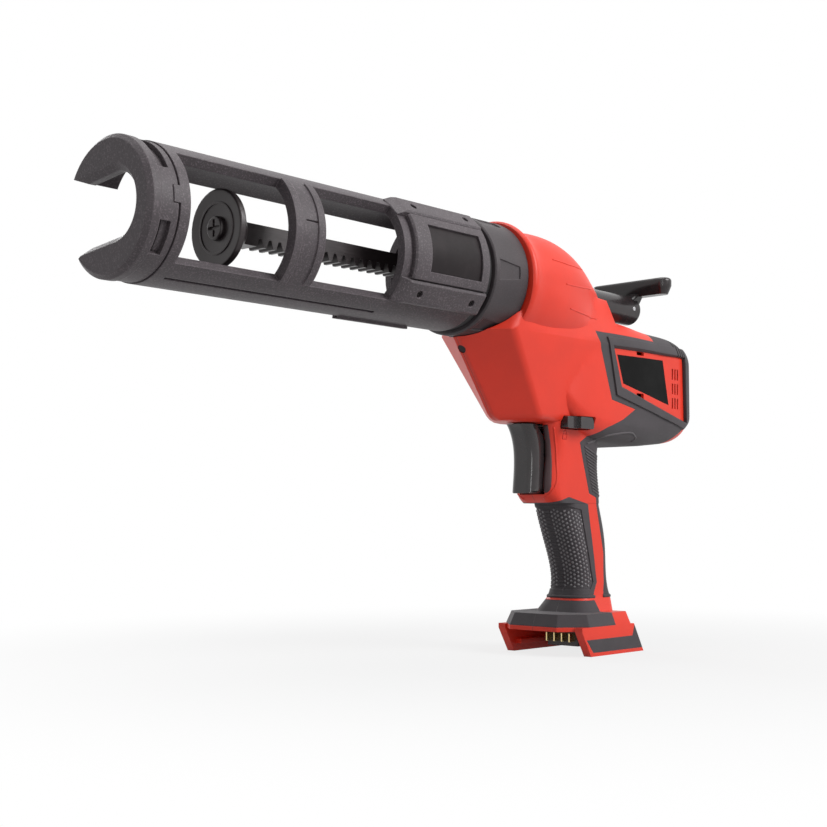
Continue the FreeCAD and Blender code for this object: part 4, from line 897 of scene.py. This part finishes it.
@dataclass
class Housing(SubAssembly):
    """The two red shells with their panels and fittings, and the fine lines moulded on them."""

    head_lines: Sequence[Sequence[Spot]] = (
        ((68.0, 261.6), (49.4, 261.1), (30.0, 261.7), (21.6, 262.5)),
        ((54.1, 247.4), (43.6, 247.6), (28.0, 248.6), (8.0, 251.0)),
        ((47.5, 232.2), (36.3, 231.4), (15.7, 231.1), (2.0, 231.2)),
    )
    line_width: float = 1.1
    line_height: float = 0.4
    rim_line: Sequence[Spot] = (
        (17.4, 155.0), (16.9, 144.3), (16.9, 133.9), (17.4, 123.6),
        (17.3, 118.5), (16.4, 113.8), (13.8, 110.1), (8.2, 106.6),
    )
    rim_width: float = 1.5
    rim_height: float = 0.5
    well_outline: Sequence[Spot] = (
        (14.3, 156.8), (14.3, 147.0), (14.4, 138.4), (15.1, 128.8),
        (15.4, 120.8), (15.2, 115.3), (14.3, 112.4), (12.6, 110.8),
    )
    well_inside: float = 10.62
    well_columns: int = 5
    well_rows: int = 40
    well_height: float = 0.35
    well_depth: float = 0.5

    def build(self) -> None:
        """Dress the housing's nodes and lay the fine lines on its shells."""
        self.dress(("housing_left", "housing_right", "housing_screws"))
        self.dress(("vent_panel_left", "vent_panel_right", "label_plate", "work_light"))
        self.dress(("terminal_block", "terminal_blades", "control_board"))
        for side in Side:
            skin = self.skin(f"housing_{side.word}")
            self.lines(side, skin)
            self.well(side, skin)

    def lines(self, side: Side, skin: Skin) -> None:
        """Lay three lines on the head and the rim round the trigger's well.

        Args:
            side: Which side of the tool.
            skin: That side's shell.
        """
        marks = Relief()
        for line in self.head_lines:
            path = [skin.side(x, z, side) for x, z in along(line, PATH_STEP)]
            marks.ridge(path, self.line_width * MM, self.line_height * MM)
        path = [skin.front(side.value * y, z) for y, z in along(self.rim_line, PATH_STEP)]
        marks.ridge(path, self.rim_width * MM, self.rim_height * MM)
        marks.piece(f"shell_lines_{side.word}", "red_plastic", self.shelf)

    def well(self, side: Side, skin: Skin) -> None:
        """Line the shell beside the trigger with a dark sheet.

        Args:
            side: Which side of the tool.
            skin: That side's shell.
        """
        marks = Relief()
        low, high = levels(self.well_outline)
        grid = []
        for row in range(self.well_rows + 1):
            z = low + (high - low) * row / self.well_rows
            width = across(self.well_outline, z) - self.well_inside
            spots = []
            for column in range(self.well_columns + 1):
                y = self.well_inside + width * column / self.well_columns
                spots.append(skin.front(side.value * y, z))
            if all(spots):
                grid.append(spots)
        marks.sheet(grid, self.well_height * MM, self.well_depth * MM)
        marks.piece(f"trigger_well_{side.word}", "trim_plastic", self.shelf, "trigger_well")


@dataclass
class Grips(SubAssembly):
    """The black overmoulds, with the moulded texture of the grip."""

    axis: Sequence[Spot] = ((-13.0, 40.0), (-11.5, 60.0), (-6.5, 80.0), (0.5, 102.0))
    turn_limit: int = 130
    turn_step: int = 3
    least_side: float = 0.001
    dot_field: Sequence[Spot] = (
        (44.0, 101.6), (18.9, 101.6), (6.8, 99.6), (-4.3, 63.7),
        (-8.4, 48.9), (-4.6, 43.9), (44.0, 43.9),
    )
    dot_margin: float = 2.0
    dot_foot: float = 1.6
    dot_head: float = 1.4
    dot_columns: int = 10
    dot_pitch: float = 2.55
    dot_rise: float = 2.85
    dot_fall: float = 1.25
    dot_start: float = 3.6
    dot_radius: float = 0.95
    dot_height: float = 0.62
    strip_middle: float = -2.0
    rib_pitch: float = 2.5
    rib_reach: float = 2.3
    rib_steps: int = 6
    rib_width: float = 1.5
    rib_height: float = 0.42
    hatch_edge: Sequence[Spot] = ((-0.8, 110.9), (12.8, 145.9))
    hatch_foot: float = 2.5
    hatch_head: float = 2.0
    hatch_border: float = 4.6
    hatch_back: float = -24.0
    hatch_pitch: float = 2.3
    hatch_fall: float = 0.36
    hatch_width: float = 1.35
    hatch_height: float = 0.7
    hatch_least: int = 4
    fold: Sequence[Spot] = (
        (4.6, 145.3), (-3.4, 147.4), (-7.0, 150.1), (-10.9, 151.5), (-17.0, 152.5), (-26.1, 153.8),
        (-33.0, 154.2), (-37.3, 153.7), (-42.6, 151.3), (-43.5, 149.4), (-41.0, 148.6),
    )
    fold_width: float = 1.5
    fold_height: float = 0.5
    lip_level: float = 38.9
    lip_arcs: Sequence[tuple[int, int]] = ((-74, 74), (107, 253))
    lip_turn: int = 4
    lip_width: float = 2.6
    lip_height: float = 0.8

    def build(self) -> None:
        """Dress the overmoulds and lay the grip's texture on them."""
        stems = ("motor_surround", "front_grip", "foot_bumper", "foot_trim")
        for side in Side:
            self.dress([f"{stem}_{side.word}" for stem in stems])
            self.dots(side, self.skin(f"front_grip_{side.word}"))
            self.hatch(side, self.skin(f"motor_surround_{side.word}"))
        self.ribs()
        self.lip()

    def middle(self, z: float) -> Vector:
        """The grip's middle line at a level given in millimetres."""
        return Vector((across(self.axis, z), 0, z)) * MM

    def round_grip(self, skin: Skin, side: Side, z: float, reach: float) -> Contact | None:
        """A point on the grip, by its way round from the front.

        Args:
            skin: The front grip's surface.
            side: Which side of the tool.
            z: The level in millimetres.
            reach: How far round the surface from the front middle, in millimetres.

        Returns:
            The point and its normal, or None beyond the surface.
        """
        middle = self.middle(z)
        left = reach * MM
        last = None
        for degree in range(0, self.turn_limit, self.turn_step):
            turn = math.radians(degree)
            sideways = side.value * max(math.sin(turn), self.least_side)
            found = skin.inward(middle, Vector((math.cos(turn), sideways, 0)))
            if found and last:
                step = (found[0] - last[0]).length
                if step >= left:
                    share = left / step
                    point = last[0].lerp(found[0], share)
                    return point, last[1].lerp(found[1], share).normalized()
                left -= step
            last = found or last
        return None

    def dots(self, side: Side, skin: Skin) -> None:
        """Lay slanting rows of round bumps in the grip's sunk field.

        Args:
            side: Which side of the tool.
            skin: The front grip's surface.
        """
        marks = Relief()
        field = grown(self.dot_field, -self.dot_margin)
        low, high = levels(self.dot_field)
        drop = self.dot_columns * self.dot_fall
        for column in range(self.dot_columns):
            reach = self.dot_start + side.value * self.strip_middle + column * self.dot_pitch
            for row in range(math.ceil((high - low + drop) / self.dot_rise)):
                z = low + row * self.dot_rise - column * self.dot_fall
                if not low + self.dot_foot < z < high - self.dot_head:
                    continue
                found = self.round_grip(skin, side, z, reach)
                if found and inside(field, found[0].x / MM, z):
                    marks.dome(*found, self.dot_radius * MM, self.dot_height * MM)
        # The dots wear a much lighter rubber: a painted highlight on the bumps.
        marks.piece(f"grip_dots_{side.word}", "grip_rubber", self.shelf, "dot_rubber")

    def hatch(self, side: Side, skin: Skin) -> None:
        """Lay slanting ribs on the strap behind the grip, and the fold under the motor.

        Args:
            side: Which side of the tool.
            skin: The motor surround's surface.
        """
        marks = Relief()
        low, high = levels(self.hatch_edge)
        z = low + self.hatch_foot
        while z < high - self.hatch_head:
            start = across(self.hatch_edge, z) - self.hatch_border
            path = []
            for back in range(int(start - self.hatch_back) + 1):
                found = skin.side(start - back, z - back * self.hatch_fall, side)
                if found:
                    path.append(found)
            if len(path) >= self.hatch_least:
                marks.ridge(path, self.hatch_width * MM, self.hatch_height * MM)
            z += self.hatch_pitch
        fold = [skin.side(x, z, side) for x, z in along(self.fold, PATH_STEP)]
        marks.ridge(fold, self.fold_width * MM, self.fold_height * MM)
        # The hatch and fold wear a lighter rubber: a painted highlight on the ridges.
        marks.piece(f"grip_hatch_{side.word}", "grip_rubber", self.shelf, "worn_rubber")

    def ribs(self) -> None:
        """Lay short cross ribs down the front of the grip."""
        marks = Relief()
        skin = self.skin("front_grip_left", "front_grip_right")
        low, high = levels(self.dot_field)
        shares = [2 * index / self.rib_steps - 1 for index in range(self.rib_steps + 1)]
        z = low + self.rib_pitch
        while z < high - self.rib_pitch:
            path = [skin.front(self.strip_middle + self.rib_reach * share, z) for share in shares]
            if all(path):
                marks.ridge(path, self.rib_width * MM, self.rib_height * MM)
            z += self.rib_pitch
        marks.piece("grip_ribs", "grip_rubber", self.shelf)

    def lip(self) -> None:
        """Roll a lip out along the lower edge of the grip's front and back."""
        marks = Relief()
        skin = self.skin("housing_left", "housing_right")
        middle = self.middle(self.lip_level)
        for first, last in self.lip_arcs:
            turns = [math.radians(degree) for degree in range(first, last + 1, self.lip_turn)]
            spokes = [Vector((math.cos(turn), math.sin(turn), 0)) for turn in turns]
            path = [skin.inward(middle, spoke) for spoke in spokes]
            marks.ridge(path, self.lip_width * MM, self.lip_height * MM)
        marks.piece("grip_lip", "grip_rubber", self.shelf)


@dataclass
class Controls(SubAssembly):
    """The trigger, its switch and the lock bolt, with the lock sign beside it."""

    sign_place: Spot = (30.6, 147.4)
    sign_half_width: float = 2.2
    sign_body_height: float = 3.4
    sign_line_width: float = 0.75
    sign_line_height: float = 0.25
    sign_step: float = 0.6
    shackle_reach: Pair = (0.8, 1.1)
    shackle_steps: int = 6

    def build(self) -> None:
        """Dress the controls and raise the lock sign."""
        self.dress(("trigger", "lock_button"), "trigger_gloss")
        self.dress(("trigger_switch",))
        self.sign()

    def sign(self) -> None:
        """Raise a plain padlock outline on the left shell, in a darker red that is painted shade
        for a debossed outline.
        """
        marks = Relief()
        skin = self.skin("housing_left")
        x, low = self.sign_place
        half, high = self.sign_half_width, low + self.sign_body_height
        body = [(x - half, low), (x + half, low), (x + half, high), (x - half, high)]
        wide, tall = (half * share for share in self.shackle_reach)
        turns = [math.pi * index / self.shackle_steps for index in range(self.shackle_steps + 1)]
        shackle = [(x + wide * math.cos(turn), high + tall * math.sin(turn)) for turn in turns]
        body_line = along([*body, body[0]], self.sign_step)[:-1]
        for outline, closed in ((body_line, True), (shackle, False)):
            path = [skin.side(*spot, Side.LEFT) for spot in outline]
            marks.ridge(path, self.sign_line_width * MM, self.sign_line_height * MM, closed)
        # The sign wears a darker red: painted shade for a debossed outline.
        marks.piece("lock_sign", "red_plastic", self.shelf, "red_mark")


def levels(outline: Sequence[Spot]) -> Pair:
    """The lowest and highest level of an outline."""
    heights = [z for _, z in outline]
    return min(heights), max(heights)


def grown(outline: Sequence[Spot], by: float) -> list[Spot]:
    """An outline moved outward from its middle.

    Args:
        outline: Corners in order.
        by: How far each corner moves.

    Returns:
        The larger outline.
    """
    middle_x, middle_z = (sum(part) / len(outline) for part in zip(*outline))
    larger = []
    for x, z in outline:
        away = Vector((x - middle_x, z - middle_z))
        away = away.normalized() * (away.length + by)
        larger.append((middle_x + away.x, middle_z + away.y))
    return larger


def along(line: Sequence[Spot], step: float) -> list[Spot]:
    """Points along a line, about a step apart.

    Args:
        line: Corners in order.
        step: The distance between points.

    Returns:
        The points, with the line's last corner.
    """
    points: list[Spot] = []
    for (x, z), (next_x, next_z) in zip(line, line[1:]):
        count = max(int(math.hypot(next_x - x, next_z - z) / step), 1)
        points += [
            (x + (next_x - x) * index / count, z + (next_z - z) * index / count)
            for index in range(count)
        ]
    return [*points, line[-1]]


def across(line: Sequence[Spot], level: float) -> float:
    """Where a line that climbs or falls crosses a level.

    Args:
        line: Corners in order.
        level: The level.

    Returns:
        The corners' first number there.
    """
    climb = sorted(line, key=lambda corner: corner[1])
    for (low_x, low_z), (high_x, high_z) in zip(climb, climb[1:]):
        if level <= high_z:
            return low_x + (high_x - low_x) * (level - low_z) / (high_z - low_z)
    return climb[-1][0]


def inside(outline: Sequence[Spot], x: float, z: float) -> bool:
    """Tell whether a place lies inside an outline.

    Args:
        outline: Corners in order.
        x: The place's first number.
        z: The place's level.

    Returns:
        Whether it does.
    """
    odd = False
    for (ax, az), (bx, bz) in zip(outline, [*outline[1:], outline[0]]):
        if (az > z) != (bz > z) and x < ax + (z - az) * (bx - ax) / (bz - az):
            odd = not odd
    return odd


@dataclass(frozen=True)
class Lamp:
    """One soft panel of light: a disc, or a rectangle if it has a height."""

    name: str
    place: Place
    size: float
    power: float
    height: float = 0.0


@dataclass
class Studio:
    """The pale floor, the soft lamps, the white surround and the camera, placed in metres."""

    aim: Place = (0.12, 0.0, 0.16)
    camera_place: Place = (0.77514, 0.56683, 0.09266)
    camera_way: Place = (-0.7352, -0.6779, 0.0)
    camera_near: float = 0.01
    sensor: float = 36.0
    lens: float = 58.956
    shift: float = 0.1284
    surround_tone: Colour = (0.95, 0.97, 1.0)
    surround_strength: float = 0.18
    floor_reach: float = 6.0
    floor_tones: Pair = (0.44, 0.48)
    floor_cloud: float = 3.0
    floor_white: float = 0.80
    floor_fade: Pair = (0.12, 0.55)
    lamps: Sequence[Lamp] = (
        Lamp("key", (-0.35, 1.35, 1.05), 1.0, 28.0),
        Lamp("front", (1.35, 0.25, 0.75), 0.9, 0.4),
        Lamp("strip", (1.35, 0.95, 0.40), 0.07, 2.8, 0.8),
        Lamp("top", (0.1, -0.1, 1.5), 1.2, 10.0),
        Lamp("right", (-0.1, -1.5, 0.75), 0.9, 10.0),
    )

    def build(self) -> None:
        """Set up the studio."""
        self.surround()
        self.floor()
        for lamp in self.lamps:
            self.light(lamp)
        self.camera()
        bpy.context.scene.view_settings.view_transform = "Standard"

    def surround(self) -> None:
        """A soft grey world that the camera and mirrors see as white."""
        bpy.context.scene.world = bpy.data.worlds.new("surround")
        graph = Graph(bpy.context.scene.world)
        inputs = {"Color": rgba(self.surround_tone), "Strength": self.surround_strength}
        soft = graph.node("ShaderNodeBackground", {}, inputs)
        white = graph.node("ShaderNodeBackground", {}, {"Color": WHITE, "Strength": 1.0})
        shaders = {0: graph.background_ray(), 1: soft, 2: white}
        graph.close(graph.node("ShaderNodeMixShader", {}, shaders))

    def floor(self) -> None:
        """A pale floor that keeps the tool's soft shadow."""
        graph = Graph.named("pale_floor")
        cloud = graph.noise(self.floor_cloud, detail=2.0)
        dark, pale = (rgba((tone, tone, tone)) for tone in self.floor_tones)
        matt = graph.node("ShaderNodeBsdfDiffuse", {}, {"Color": graph.mix(dark, pale, cloud)})
        white = graph.node("ShaderNodeEmission", {}, {"Color": WHITE, "Strength": 1.0})
        settings = {"operation": "LENGTH"}
        away = graph.node("ShaderNodeVectorMath", settings, {0: graph.place()}, "Value")
        far = away.step(*self.floor_fade)
        share = graph.background_ray() * (self.floor_white + (1.0 - self.floor_white) * far)
        graph.close(graph.node("ShaderNodeMixShader", {}, {0: share, 1: matt, 2: white}))
        reach = self.floor_reach
        corners = [(-reach, -reach, 0), (reach, -reach, 0), (reach, reach, 0), (-reach, reach, 0)]
        data = bpy.data.meshes.new("floor")
        data.from_pydata(corners, [], [(0, 1, 2, 3)])
        data.materials.append(graph.owner)
        floor = bpy.data.objects.new("floor", data)
        bpy.context.scene.collection.objects.link(floor)

    def light(self, lamp: Lamp) -> None:
        """Hang one lamp, turned to the tool.

        Args:
            lamp: The lamp's place, size and power.
        """
        data = bpy.data.lights.new(lamp.name, "AREA")
        data.shape = "RECTANGLE" if lamp.height else "DISK"
        data.size = lamp.size
        if lamp.height:
            data.size_y = lamp.height
        data.energy = lamp.power
        made = bpy.data.objects.new(lamp.name, data)
        self.hang(made, lamp.place, Vector(self.aim) - Vector(lamp.place))

    def camera(self) -> None:
        """Place the camera at the photograph's viewpoint."""
        data = bpy.data.cameras.new("camera")
        data.sensor_width = self.sensor
        data.lens = self.lens
        data.shift_y = self.shift
        data.clip_start = self.camera_near
        made = bpy.data.objects.new("camera", data)
        self.hang(made, self.camera_place, Vector(self.camera_way))
        bpy.context.scene.camera = made

    @staticmethod
    def hang(made: bpy.types.Object, place: Place, way: Vector) -> None:
        """Put a lamp or camera in the scene.

        Args:
            made: The lamp or camera.
            place: Where it stands.
            way: Where it looks.
        """
        made.location = place
        made.rotation_euler = way.to_track_quat("-Z", "Y").to_euler()
        bpy.context.scene.collection.objects.link(made)


def main() -> None:
    """Load the frame, dress every sub-assembly and set up the studio."""
    logging.basicConfig(level=logging.INFO, format="%(name)s: %(message)s")
    for leftover in list(bpy.data.objects):
        bpy.data.objects.remove(leftover)
    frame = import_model()
    shelf = FinishShelf()
    slots = {part["node"]: part["material_slot"] for part in frame["record"]["subparts"]}
    for group in (Holder, PushRod, Housing, Grips, Controls):
        group(shelf, frame["nodes"], slots).build()
    Studio().build()


if __name__ == "__main__":
    main()
